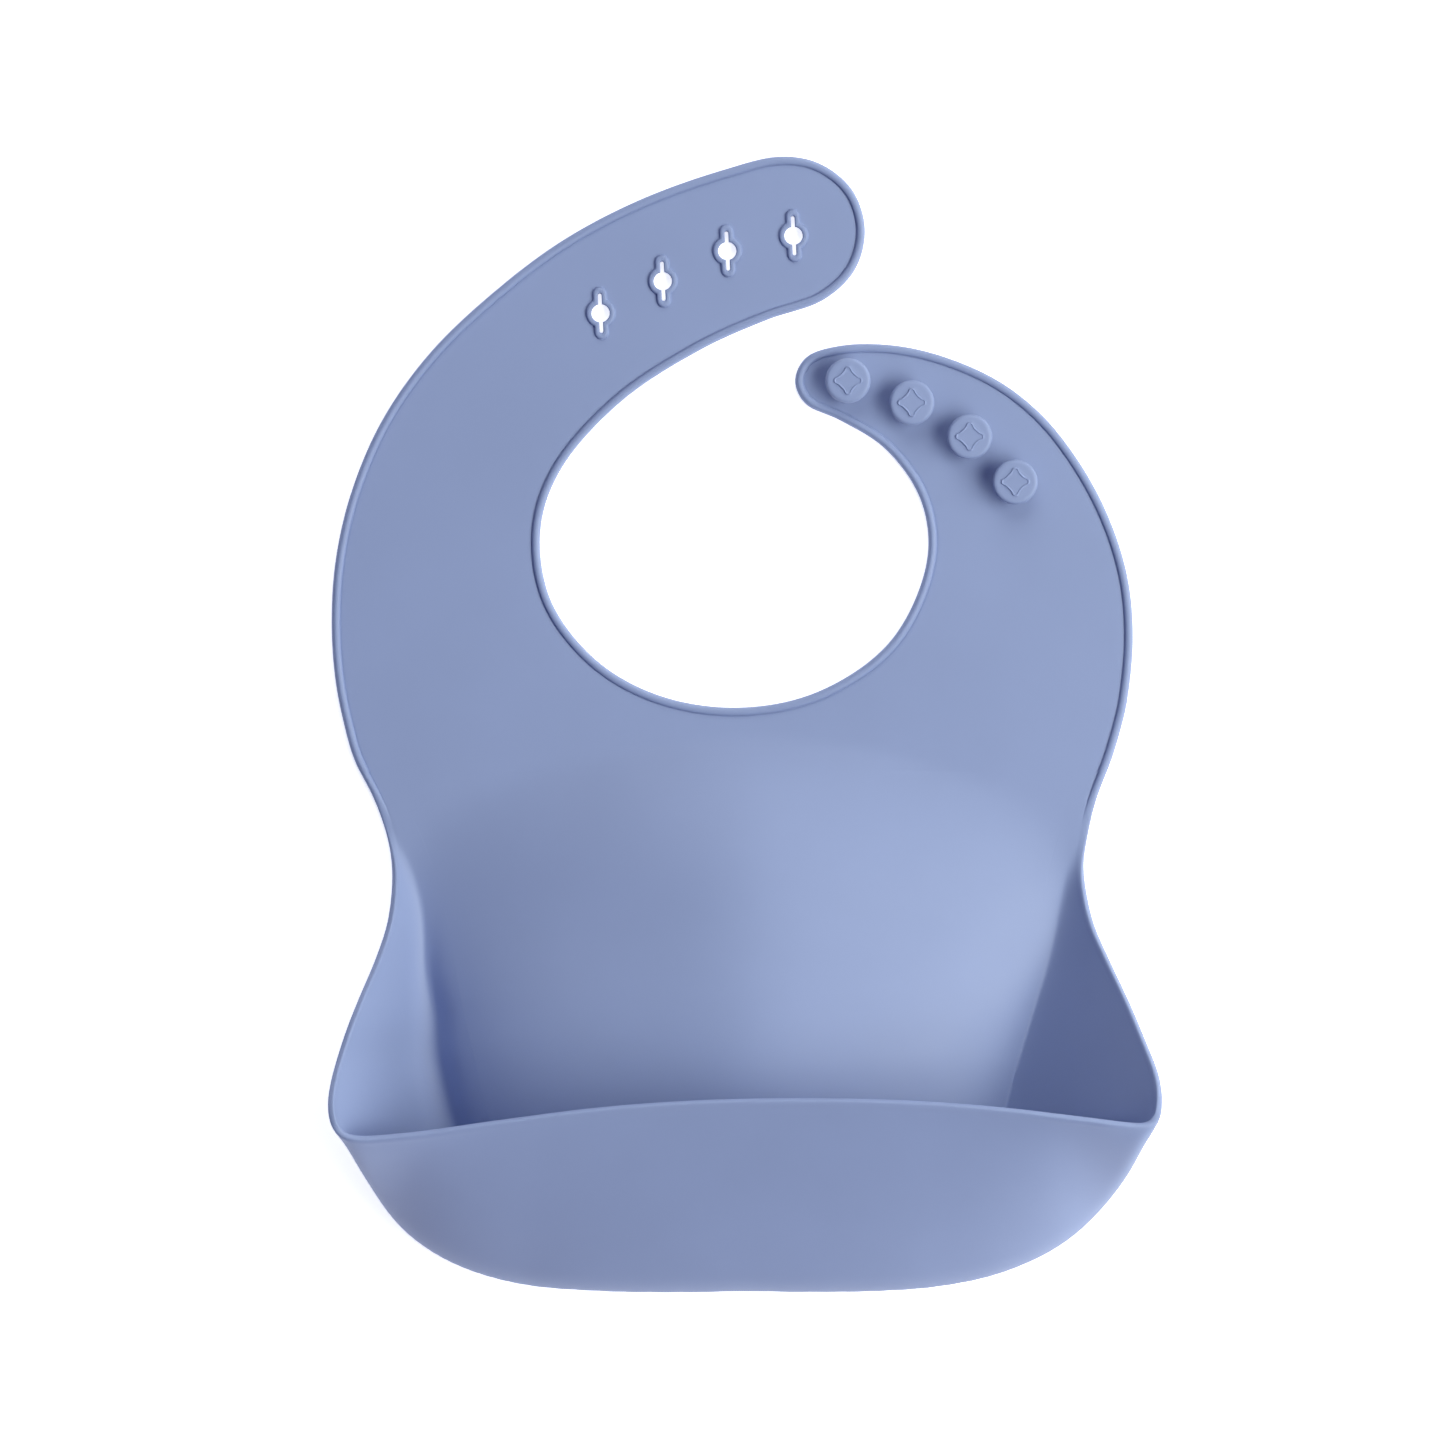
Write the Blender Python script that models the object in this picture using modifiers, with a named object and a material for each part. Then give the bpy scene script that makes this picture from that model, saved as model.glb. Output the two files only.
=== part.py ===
"""A silicone bib lying on its back: flat yoke, two neck straps, a panel with a soft
swell, and a scoop pocket that stands open.  Built in metres from millimetre
dimensions.  +X is the bib's left-to-right, +Y runs from the pocket to the neck and
+Z points up from the surface it lies on.

The moulding is one sheet.  It is made here as regions with narrow clearances at the
lines where it bends.
"""

import bmesh
import bpy
import math
import numpy as np

MM = 0.001

# ---- driving dimensions (mm) -------------------------------------------------
SHEET = 1.8          # thickness of the flat sheet and of every wall
BEAD_TOP = 2.8       # height of the rim bead above the table
BEAD_WIDE = 2.3      # width of the rim bead
GAP = 0.3            # clearance between neighbouring regions
BEND_GAP = 1.8       # clearance at a line where the flat sheet bends
FOLD_Y = -0.4        # line across the body just below the neck
BEND_Z = 1.4         # height of the bending axes, half the bead
HOLE_D = 4.9         # keyhole
SLIT_W = 1.0
SLIT_L = 10.6
COLLAR_D = 7.8
COLLAR_ARM_W = 3.7
COLLAR_L = 14.1
COLLAR_TOP = 2.6
HEAD_D = 12.0        # stud
HEAD_Z0 = 5.2
HEAD_TOP = 7.8
STEM_D = 5.0
STEM_FOOT_D = 6.4
STAR_H = 0.3
LIP_Z = 46.0         # height of the pocket's lip
RIDGE_HALF = 3.2     # half the height of the fold between floor and front wall
FOLD_IN = 4.2        # how far in the fold's rounding reaches, on the plan
SLOPE_L, SLOPE_R = 1.45, 1.04   # how steeply the side walls stand
SWELL = 21.0         # height of the panel's swell

# outline of the yoke and the two straps, seen from above, as a few spline points
FLAT_OUTLINE = [
    (-104.2, -12.0), (-107.8, -0.1), (-110.1, 11.7), (-111.1, 26.4), (-110.1, 43.4),
    (-105.9, 61.9), (-97.5, 81.5), (-84.7, 99.5), (-66.9, 116.4), (-48.9, 129.8),
    (-28.3, 140.6), (-6.0, 148.6), (9.3, 152.2), (20.0, 150.3), (28.7, 143.2),
    (32.1, 132.5), (29.4, 121.8), (21.0, 113.7), (5.8, 108.3), (-12.2, 100.2),
    (-33.7, 86.1), (-49.8, 67.8), (-55.0, 52.0), (-52.3, 33.2), (-40.0, 17.0),
    (-23.0, 7.5), (-1.5, 4.3), (20.0, 8.8), (39.1, 22.4), (48.7, 43.9),
    (47.0, 60.0), (37.5, 73.7), (25.1, 81.5), (16.0, 85.8), (13.2, 92.0),
    (16.2, 98.3), (25.4, 101.4), (38.8, 101.6), (52.2, 98.8), (67.5, 92.2),
    (79.6, 82.8), (89.8, 69.8), (97.8, 54.6), (102.7, 38.5), (104.0, 22.4),
    (102.5, 6.3), (101.1, -0.1), (97.4, -12.0),
]
# outer edge of the body from the fold line down to the middle of the bottom
SIDE_L = [
    (-107.8, -0.1), (-105.0, -9.8), (-99.6, -20.5), (-95.9, -31.3), (-94.3, -40.6),
    (-95.1, -52.5), (-98.2, -62.9), (-102.4, -73.4), (-106.1, -83.7), (-109.0, -94.0),
    (-109.6, -99.2), (-108.8, -104.6), (-106.5, -110.1), (-101.6, -121.3),
    (-94.7, -132.5), (-87.1, -139.6), (-76.5, -145.6), (-60.5, -150.3),
    (-39.0, -152.1), (-17.6, -152.4), (0.0, -152.1),
]
SIDE_R = [
    (101.1, -0.1), (98.2, -9.8), (94.1, -20.5), (91.6, -31.3), (90.5, -39.3),
    (92.5, -52.5), (96.7, -62.9), (101.4, -73.4), (105.5, -83.7), (109.1, -94.0),
    (109.3, -99.2), (108.3, -104.6), (106.4, -110.1), (101.6, -121.3),
    (93.3, -132.5), (83.1, -140.8), (68.1, -147.5), (52.1, -150.9),
    (36.0, -152.1), (14.6, -152.3), (0.0, -152.1),
]
LIP = [
    (-108.2, -106.5), (-105.0, -108.6), (-91.1, -108.4), (-64.8, -104.7),
    (-38.4, -101.3), (-12.1, -99.4), (14.2, -98.9), (40.6, -99.4), (66.9, -101.3),
    (88.0, -103.9), (101.1, -105.4), (106.6, -105.6), (108.4, -104.2),
]
CREASE_L = [
    (-99.2, -21.5), (-92.8, -31.3), (-87.9, -42.0), (-84.7, -52.8), (-82.6, -63.5),
    (-80.2, -74.2), (-77.0, -87.7), (-73.2, -103.8), (-67.6, -122.6),
    (-61.6, -138.7), (-56.0, -149.9),
]
CREASE_R = [
    (93.6, -21.5), (89.0, -31.3), (85.5, -42.0), (83.4, -52.8), (81.0, -63.5),
    (77.6, -74.2), (73.4, -87.7), (68.8, -103.8), (63.8, -122.6),
    (58.6, -138.7), (53.9, -149.9),
]
KEYHOLES = [(-38.9, 110.1), (-22.2, 118.7), (-4.9, 126.8), (12.9, 130.9)]
STUDS = [(27.4, 91.8), (44.5, 85.9), (60.0, 76.8), (72.2, 64.7)]
# bending lines: a point on the line and its direction, seen from above
HOLE_BEND_1 = ((-81.0, 33.2), (1.0, 0.0))
HOLE_BEND_2 = ((-57.0, 99.0), (-0.66, 0.75))
STUD_BEND_1 = ((76.0, 33.2), (1.0, 0.0))
STUD_BEND_2 = ((53.0, 83.0), (0.46, 0.888))
POCKET_AXIS = (0.0, -150.6, 4.1)
SHIFT = (0.55, 0.55)  # brings the middle of the whole bib over the origin

# ---- scene -------------------------------------------------------------------
for old in list(bpy.data.objects):
    bpy.data.objects.remove(old)
bib = bpy.data.collections.new("silicone_bib")
bpy.context.scene.collection.children.link(bib)
helpers = bpy.data.collections.new("cutters")
bpy.context.scene.collection.children.link(helpers)
helpers.hide_render = True


def material(name, colour, rough):
    m = bpy.data.materials.new(name)
    m.use_nodes = True
    b = m.node_tree.nodes["Principled BSDF"]
    b.inputs["Base Color"].default_value = (*colour, 1.0)
    b.inputs["Roughness"].default_value = rough
    b.inputs["Metallic"].default_value = 0.0
    m.diffuse_color = (*colour, 1.0)
    return m


SILICONE = (0.30, 0.37, 0.60)


# ---- curves ------------------------------------------------------------------
def spline(points, step, closed=False):
    """Points of a centripetal Catmull-Rom curve through the given ones, evenly apart."""
    p = np.array(points, float)
    if closed:
        p = np.vstack([p[-1], p, p[0], p[1]])
    else:
        p = np.vstack([2 * p[0] - p[1], p, 2 * p[-1] - p[-2]])
    out = []
    for i in range(1, len(p) - 2):
        a, b, c, d = p[i - 1], p[i], p[i + 1], p[i + 2]
        t0 = 0.0
        t1 = t0 + max(np.linalg.norm(b - a), 1e-9) ** 0.5
        t2 = t1 + max(np.linalg.norm(c - b), 1e-9) ** 0.5
        t3 = t2 + max(np.linalg.norm(d - c), 1e-9) ** 0.5
        for t in np.linspace(t1, t2, 25)[:-1]:
            a1 = (t1 - t) / (t1 - t0) * a + (t - t0) / (t1 - t0) * b
            a2 = (t2 - t) / (t2 - t1) * b + (t - t1) / (t2 - t1) * c
            a3 = (t3 - t) / (t3 - t2) * c + (t - t2) / (t3 - t2) * d
            b1 = (t2 - t) / (t2 - t0) * a1 + (t - t0) / (t2 - t0) * a2
            b2 = (t3 - t) / (t3 - t1) * a2 + (t - t1) / (t3 - t1) * a3
            out.append((t2 - t) / (t2 - t1) * b1 + (t - t1) / (t2 - t1) * b2)
    if not closed:
        out.append(p[-2])
    out = np.array(out)
    return resample(out, step, closed)


def resample(q, step, closed=False):
    if closed:
        q = np.vstack([q, q[0]])
    s = np.concatenate([[0], np.cumsum(np.linalg.norm(np.diff(q, axis=0), axis=1))])
    n = max(2, int(round(s[-1] / step)) + 1)
    t = np.linspace(0, s[-1], n)
    r = np.column_stack([np.interp(t, s, q[:, k]) for k in range(q.shape[1])])
    return r[:-1] if closed else r


def at(curve, f):
    """Points of a polyline at fractions f of its length."""
    s = np.concatenate(
        [[0], np.cumsum(np.linalg.norm(np.diff(curve, axis=0), axis=1))]
    )
    s /= s[-1]
    return np.column_stack([np.interp(f, s, curve[:, k]) for k in range(curve.shape[1])])


def drawn_in(curve, side):
    """The outer edge, moved in by half the sheet where it becomes the fold, so that the
    fold's outer face and not its middle lies on the outline."""
    t = np.gradient(curve, axis=0)
    t /= np.linalg.norm(t, axis=1, keepdims=True)
    inward = -side * np.column_stack([-t[:, 1], t[:, 0]])
    share = np.clip((-104.0 - curve[:, 1]) / 10.0, 0, 1)
    share = share * share * (3 - 2 * share)
    return curve + inward * (SHEET / 2 * share)[:, None]


SIDE_L_CURVE = drawn_in(spline(SIDE_L, 0.5), -1)
SIDE_R_CURVE = drawn_in(spline(SIDE_R, 0.5), 1)
CREASE_L_CURVE = spline(CREASE_L, 0.5)
CREASE_R_CURVE = spline(CREASE_R, 0.5)
LIP_CURVE = spline(LIP, 0.5)


def crease_x(curve, y):
    """x of a crease at y, carried on straight up past its top."""
    order = np.argsort(curve[:, 1])
    return np.interp(y, curve[order, 1], curve[order, 0])


# ---- the body's surface as a height over the table ----------------------------
def smooth_abs(v, a):
    return np.sqrt(v * v + a * a) - a


def step01(t):
    t = np.clip(t, 0.0, 1.0)
    return t * t * (3 - 2 * t)


def ramp(v, w):
    """Zero slope at v = 0, growing evenly to a slope of 1 at v = w."""
    return np.where(v < w, v * v / (2 * w), v - w / 2)


def floor_z(x, y):
    """Middle of the sheet of panel and side walls."""
    xl, xr = crease_x(CREASE_L_CURVE, y), crease_x(CREASE_R_CURVE, y)
    xl = np.where(y > -42, -87.9 + (y + 42) * -0.03, xl)
    xr = np.where(y > -42, 85.5 + (y + 42) * 0.03, xr)
    mid = -1.5
    side = np.where(x < mid, (mid - x) / (mid - xl + 3.4), (x - mid) / (xr - mid + 1.2))
    soft = np.sqrt(side**2 + 0.17**2) - (math.sqrt(1 + 0.17**2) - 1)
    near = np.clip(side, 0, 1)
    low = step01((-40.0 - y) / 45.0)
    tent = 1 - (0.70 - 0.26 * low) * soft - (0.14 + 0.20 * low) * near**2 - (0.16 + 0.06 * low) * near**5
    steep = np.where(x < mid, 0.24, 0.06) * low
    tent = tent + steep * (near**2 - near**9)
    tent = np.clip(tent, 0, None)
    arc = -1.4 - 22.0 * ((x - mid) / 93.0) ** 2
    below = np.clip(arc - y, 0, None)
    rise = np.tanh(smooth_abs(below, 4.0) / 34.0)
    fade = 1 - 0.88 * step01((-104.0 - y) / 46.0)
    tent = tent * SWELL * rise * fade * (1 + 0.12 * step01((-46.0 - y) / 44.0))
    creasel = crease_x(CREASE_L_CURVE, y)
    creaser = crease_x(CREASE_R_CURVE, y)
    out = np.clip(np.maximum(creasel - x, x - creaser), 0, None)
    slope = np.where(x < mid, SLOPE_L, SLOPE_R) * step01((-21.5 - y) / 24.0) * (
        1 - 0.93 * step01((-104.0 - y) / 32.0)
    )
    # the left wall leaves the panel in a wide fillet, the right one in a tight fold
    fillet = 6.0 + 9.0 * step01((-62.0 - y) / 32.0)
    left = slope * ramp(out, fillet)
    right = smooth_abs(slope * out, 1.6 + 1.8 * step01((y + 95.0) / 50.0))
    wall = np.where(x < mid, left, right)
    return SHEET / 2 + smooth_abs(tent, 0.8) + wall


CORNER_L, CORNER_R = (-108.6, -105.2), (108.8, -102.6)


def ridge(side):
    """The fold between floor and front wall, seen from above, from one lip corner to
    the middle of the bottom."""
    curve = SIDE_L_CURVE if side < 0 else SIDE_R_CURVE
    corner = CORNER_L if side < 0 else CORNER_R
    i = int(np.argmin(np.linalg.norm(curve - np.array(corner), axis=1)))
    return curve[i:]


RIDGE = np.vstack([ridge(-1), ridge(1)[::-1][1:]])


def ridge_normals():
    t = np.gradient(RIDGE, axis=0)
    t /= np.linalg.norm(t, axis=1, keepdims=True)
    return np.column_stack([-t[:, 1], t[:, 0]])


RIDGE_IN = ridge_normals()


def ridge_info(x, y):
    """Distance from the fold on the plan, and the fold's inward normal there."""
    p = np.column_stack([np.ravel(x), np.ravel(y)])
    best = np.full(len(p), 1e9)
    where = np.zeros(len(p), int)
    for i in range(0, len(RIDGE), 200):
        block = RIDGE[i : i + 201]
        d = np.linalg.norm(p[:, None, :] - block[None, :, :], axis=2)
        k = d.argmin(axis=1)
        d = d[np.arange(len(p)), k]
        nearer = d < best
        best = np.where(nearer, d, best)
        where = np.where(nearer, k + i, where)
    for other in (-1, 1):
        j = np.clip(where + other, 0, len(RIDGE) - 1)
        a, b = RIDGE[where], RIDGE[j]
        ab = b - a
        t = np.clip(
            np.sum((p - a) * ab, axis=1) / np.maximum(np.sum(ab * ab, axis=1), 1e-9), 0, 1
        )
        best = np.minimum(best, np.linalg.norm(p - a - t[:, None] * ab, axis=1))
    best = np.where(best < 1e-4, 0.0, best)
    return best.reshape(np.shape(x)), RIDGE_IN[where].reshape(np.shape(x) + (2,))


def quarter(t):
    t = np.clip(t, 0.0, 1.0)
    return np.sqrt(np.clip(1 - (1 - t) ** 2, 0, None))


# ---- meshes ------------------------------------------------------------------
def new_object(name, verts, faces, colour=SILICONE, rough=0.55, origin=(0, 0, 0)):
    origin = np.array(origin, float)
    v = (np.asarray(verts, float) - origin) * MM
    mesh = bpy.data.meshes.new(name)
    mesh.from_pydata([tuple(c) for c in v], [], [tuple(int(i) for i in f) for f in faces])
    mesh.validate()
    obj = bpy.data.objects.new(name, mesh)
    bib.objects.link(obj)
    obj.location = origin * MM
    mesh.materials.append(material("silicone_" + name, colour, rough))
    return obj


def tidy(obj, angle=35):
    """Weld, face outwards, smooth with sharp edges."""
    bm = bmesh.new()
    bm.from_mesh(obj.data)
    bmesh.ops.remove_doubles(bm, verts=bm.verts, dist=1e-6)
    bmesh.ops.dissolve_degenerate(bm, edges=bm.edges, dist=1e-7)
    bmesh.ops.recalc_face_normals(bm, faces=bm.faces)
    if bm.calc_volume(signed=True) < 0:
        bmesh.ops.reverse_faces(bm, faces=bm.faces)
    bm.to_mesh(obj.data)
    bm.free()
    obj.data.shade_smooth()
    obj.data.set_sharp_from_angle(angle=math.radians(angle))
    return obj


def thick_patch(grid, up, down):
    """Closed body from a grid of points on the sheet's middle: 'up' and 'down' are the
    distances to its two faces, along the grid's own normals."""
    nu, nv = grid.shape[:2]
    du = np.gradient(grid, axis=0)
    dv = np.gradient(grid, axis=1)
    n = np.cross(du, dv)
    n /= np.linalg.norm(n, axis=2, keepdims=True)
    return thick_patch_normals(grid, n, up, down)


def thick_patch_normals(grid, n, up, down):
    nu, nv = grid.shape[:2]
    up = np.broadcast_to(up, (nu, nv))[..., None]
    down = np.broadcast_to(down, (nu, nv))[..., None]
    top = grid + n * up
    low = grid - n * down
    verts = np.vstack([top.reshape(-1, 3), low.reshape(-1, 3)])
    k = nu * nv
    idx = np.arange(k).reshape(nu, nv)
    faces = []
    for i in range(nu - 1):
        for j in range(nv - 1):
            a, b, c, d = idx[i, j], idx[i + 1, j], idx[i + 1, j + 1], idx[i, j + 1]
            faces.append((a, b, c, d))
            faces.append((d + k, c + k, b + k, a + k))
    for i in range(nu - 1):
        for j in (0, nv - 1):
            a, b = idx[i, j], idx[i + 1, j]
            faces.append((a, a + k, b + k, b) if j == 0 else (b, b + k, a + k, a))
    for j in range(nv - 1):
        for i in (0, nu - 1):
            a, b = idx[i, j], idx[i, j + 1]
            faces.append((b, b + k, a + k, a) if i == 0 else (a, a + k, b + k, b))
    return verts, faces


# ---- flat sheet: yoke and straps ---------------------------------------------
def inward_normals(p):
    t = np.roll(p, -1, axis=0) - np.roll(p, 1, axis=0)
    t /= np.linalg.norm(t, axis=1, keepdims=True)
    area = 0.5 * np.sum(p[:, 0] * np.roll(p[:, 1], -1) - np.roll(p[:, 0], -1) * p[:, 1])
    n = np.column_stack([-t[:, 1], t[:, 0]])
    return n if area > 0 else -n


def flat_sheet(name):
    p = spline(FLAT_OUTLINE, 4.0)
    n = inward_normals(p)
    rings = [
        (0.5, 0.0), (0.0, 0.5), (0.0, 2.0), (0.5, 2.65), (1.15, BEAD_TOP),
        (1.8, 2.65), (BEAD_WIDE, SHEET),
    ]
    m = len(p)
    verts = []
    for inset, z in rings:
        q = p + n * inset
        verts += [(x, y, z) for x, y in q]
    faces = []
    for k in range(len(rings) - 1):
        for i in range(m):
            j = (i + 1) % m
            faces.append((k * m + i, k * m + j, (k + 1) * m + j, (k + 1) * m + i))
    faces.append(tuple(range(m - 1, -1, -1)))
    last = (len(rings) - 1) * m
    faces.append(tuple(range(last, last + m)))
    return tidy(new_object(name, verts, faces))


def box(name, centre, half, angle=0.0):
    bm = bmesh.new()
    bmesh.ops.create_cube(bm, size=2.0)
    for v in bm.verts:
        v.co.x *= half[0] * MM
        v.co.y *= half[1] * MM
        v.co.z *= half[2] * MM
    mesh = bpy.data.meshes.new(name)
    bm.to_mesh(mesh)
    bm.free()
    obj = bpy.data.objects.new(name, mesh)
    helpers.objects.link(obj)
    obj.location = [c * MM for c in centre]
    obj.rotation_euler = (0, 0, angle)
    obj.hide_render = True
    obj.display_type = "WIRE"
    return obj


def keyhole_outline(hole_d, arm_w, arm_l, steps=20):
    """Outline of a disc with two opposite round-ended arms along its own y."""
    r, w = hole_d / 2, arm_w / 2
    a0 = math.asin(w / r)
    pts = []
    for sign in (1, -1):
        # round end of this arm, then the disc's flank down to the other arm
        c = arm_l / 2 - w
        ends = [math.pi * k / 6 for k in range(7)]
        for a in ends:
            pts.append((sign * w * math.cos(a), sign * (c + w * math.sin(a))))
        flank = np.linspace(math.pi / 2 + a0, 3 * math.pi / 2 - a0, steps // 2)
        for a in flank:
            pts.append((sign * r * math.cos(a), sign * r * math.sin(a)))
    return np.array(pts)


def prism(name, outline, centre, z0, z1, angle, collection):
    c, s = math.cos(angle), math.sin(angle)
    xy = [(centre[0] + x * c - y * s, centre[1] + x * s + y * c) for x, y in outline]
    m = len(xy)
    verts = [(x, y, z0) for x, y in xy] + [(x, y, z1) for x, y in xy]
    faces = [tuple(range(m - 1, -1, -1)), tuple(range(m, 2 * m))]
    for i in range(m):
        j = (i + 1) % m
        faces.append((i, j, m + j, m + i))
    obj = new_object(name, verts, faces, origin=(centre[0], centre[1], 0))
    if collection is helpers:
        bib.objects.unlink(obj)
        helpers.objects.link(obj)
        obj.hide_render = True
        obj.display_type = "WIRE"
    return tidy(obj, 30)


def cut(obj, cutters, solver="EXACT"):
    """Subtract the cutters now and keep the result as the object's mesh."""
    for c in cutters:
        mod = obj.modifiers.new("cut_" + c.name, "BOOLEAN")
        mod.operation = "DIFFERENCE"
        mod.solver = solver
        mod.object = c
    graph = bpy.context.evaluated_depsgraph_get()
    mesh = bpy.data.meshes.new_from_object(obj.evaluated_get(graph))
    obj.modifiers.clear()
    old = obj.data
    obj.data = mesh
    bpy.data.meshes.remove(old)
    return obj


def islands(obj):
    """Split an object into its loose bodies; returns lists of (verts, faces)."""
    mesh = obj.data
    n = len(mesh.vertices)
    root = list(range(n))

    def find(i):
        while root[i] != i:
            root[i] = root[root[i]]
            i = root[i]
        return i

    for e in mesh.edges:
        a, b = find(e.vertices[0]), find(e.vertices[1])
        if a != b:
            root[a] = b
    groups = {}
    for f in mesh.polygons:
        groups.setdefault(find(f.vertices[0]), []).append(tuple(f.vertices))
    found = []
    for faces in groups.values():
        used = sorted({i for f in faces for i in f})
        new = {old: k for k, old in enumerate(used)}
        v = np.array([obj.matrix_world @ mesh.vertices[i].co for i in used]) / MM
        found.append((v, [tuple(new[i] for i in f) for f in faces]))
    return found


KEY_TILT = math.radians(3.0)
sheet = flat_sheet("flat_sheet")
cutters = [box("cut_fold", (0, FOLD_Y + BEND_GAP / 2 - 30, 0), (150, 30, 10))]
for tag, (point, way), reach in (
    ("hole_1", HOLE_BEND_1, 38),
    ("hole_2", HOLE_BEND_2, 30),
    ("stud_1", STUD_BEND_1, 33),
    ("stud_2", STUD_BEND_2, 22),
):
    cutters.append(
        box("cut_" + tag, (*point, 0), (reach, BEND_GAP / 2, 10), math.atan2(way[1], way[0]))
    )
for i, spot in enumerate(KEYHOLES, 1):
    cutters.append(
        prism(
            f"cut_key_{i}",
            keyhole_outline(COLLAR_D + 2 * GAP, COLLAR_ARM_W + 2 * GAP, COLLAR_L + 2 * GAP),
            spot, -5, 9, KEY_TILT, helpers,
        )
    )
for i, spot in enumerate(STUDS, 1):
    circle = [
        (
            (STEM_FOOT_D / 2 + GAP) * math.cos(2 * math.pi * k / 24),
            (STEM_FOOT_D / 2 + GAP) * math.sin(2 * math.pi * k / 24),
        )
        for k in range(24)
    ]
    cutters.append(prism(f"cut_stud_{i}", circle, spot, -5, 9, 0.0, helpers))
bpy.context.view_layer.update()
cut(sheet, cutters)
pieces = islands(sheet)
bpy.data.objects.remove(sheet)

SPOTS = {
    "yoke": (-80.0, 12.0),
    "hole_strap_base": (-80.0, 60.0),
    "hole_strap_tip": (-15.0, 118.0),
    "stud_strap_base": (78.0, 56.0),
    "stud_strap_tip": (35.0, 92.0),
}
ORIGINS = {
    "yoke": (0.0, FOLD_Y, BEND_Z),
    "hole_strap_base": (*HOLE_BEND_1[0], BEND_Z),
    "hole_strap_tip": (*HOLE_BEND_2[0], BEND_Z),
    "stud_strap_base": (*STUD_BEND_1[0], BEND_Z),
    "stud_strap_tip": (*STUD_BEND_2[0], BEND_Z),
}
for name, spot in SPOTS.items():
    best = min(
        pieces,
        key=lambda g: np.linalg.norm(g[0][:, :2] - np.array(spot), axis=1).min(),
    )
    tidy(new_object(name, best[0], best[1], origin=ORIGINS[name]))

# ---- keyhole collars ---------------------------------------------------------
for i, spot in enumerate(KEYHOLES, 1):
    outer = keyhole_outline(COLLAR_D, COLLAR_ARM_W, COLLAR_L)
    inner = keyhole_outline(HOLE_D, SLIT_W, SLIT_L)
    collar = prism(f"keyhole_collar_{i}", outer, spot, 0.0, COLLAR_TOP, KEY_TILT, bib)
    core = prism(f"cut_collar_{i}", inner, spot, -5, 9, KEY_TILT, helpers)
    bpy.context.view_layer.update()
    cut(collar, [core])
    tidy(collar, 30)

# ---- studs -------------------------------------------------------------------
STUD_PROFILE = [
    (0.0, HEAD_TOP), (5.1, HEAD_TOP), (5.7, HEAD_TOP - 0.3), (6.0, HEAD_TOP - 0.9),
    (6.0, HEAD_Z0 + 0.6), (5.4, HEAD_Z0), (2.5, HEAD_Z0), (2.5, 2.6), (3.2, 2.1),
    (3.2, 0.0), (0.0, 0.0),
]


def star_outline():
    """Four blunt tips on the axes with shallow hollow sides between them."""
    half = [(3.70, 0.32), (3.44, 0.68), (2.86, 1.04), (1.90, 1.90)]
    quarter_turn = half + [(v, u) for u, v in half[-2::-1]]
    pts = []
    for k in range(4):
        c, s = round(math.cos(math.pi / 2 * k)), round(math.sin(math.pi / 2 * k))
        pts += [(u * c - v * s, u * s + v * c) for u, v in quarter_turn]
    return pts


for i, spot in enumerate(STUDS, 1):
    curve = bpy.data.meshes.new(f"stud_{i}_profile")
    pts = [(r * MM, 0.0, z * MM) for r, z in STUD_PROFILE]
    curve.from_pydata(pts, [(k, k + 1) for k in range(len(pts) - 1)], [])
    obj = bpy.data.objects.new(f"stud_{i}", curve)
    bib.objects.link(obj)
    mod = obj.modifiers.new("turn", "SCREW")
    mod.steps = mod.render_steps = 24
    mod.use_merge_vertices = True
    mod.merge_threshold = 1e-5
    mod.use_normal_calculate = True
    bpy.context.view_layer.update()
    graph = bpy.context.evaluated_depsgraph_get()
    body = bpy.data.meshes.new_from_object(obj.evaluated_get(graph))
    obj.modifiers.clear()
    obj.data = body
    bpy.data.meshes.remove(curve)
    star = prism(
        f"star_{i}", star_outline(), (0, 0), HEAD_TOP - 1.0,
        HEAD_TOP + STAR_H, 0.0, helpers,
    )
    bpy.context.view_layer.update()
    mod = obj.modifiers.new("star", "BOOLEAN")
    mod.operation = "UNION"
    mod.solver = "EXACT"
    mod.object = star
    graph = bpy.context.evaluated_depsgraph_get()
    joined = bpy.data.meshes.new_from_object(obj.evaluated_get(graph))
    obj.modifiers.clear()
    obj.data = joined
    bpy.data.meshes.remove(body)
    obj.location = (spot[0] * MM, spot[1] * MM, 0.0)
    obj.data.materials.clear()
    obj.data.materials.append(material(f"silicone_stud_{i}", SILICONE, 0.55))
    tidy(obj, 30)


# ---- panel -------------------------------------------------------------------
def upper_side(curve, corner_y):
    """Part of an outer edge from the fold line down to corner_y."""
    keep = curve[curve[:, 1] >= corner_y]
    return keep[: int(np.argmin(keep[:, 1])) + 1]


def body_point(x, y, share=None):
    """Sheet middle over (x, y), turned up into the fold near the pocket's ridge."""
    z = floor_z(x, y)
    if share is None:
        share = np.ones(np.shape(x))
    d, inward = ridge_info(x, y)
    t = np.clip(d / FOLD_IN, 0, 1)
    z = z + share * RIDGE_HALF * (1 - quarter(t))
    h = 0.02
    gx = (floor_z(x + h, y) - floor_z(x - h, y)) / (2 * h)
    gy = (floor_z(x, y + h) - floor_z(x, y - h)) / (2 * h)
    steep = -share * RIDGE_HALF / FOLD_IN * (1 - t) / np.maximum(quarter(t), 0.02)
    gx = gx + steep * inward[..., 0]
    gy = gy + steep * inward[..., 1]
    n = np.stack([-gx, -gy, np.ones(np.shape(x))], axis=-1)
    n /= np.linalg.norm(n, axis=-1, keepdims=True)
    return np.stack([x, y, z], axis=-1), n


def graded(n, power=1.0):
    return np.linspace(0, 1, n) ** power


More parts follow.
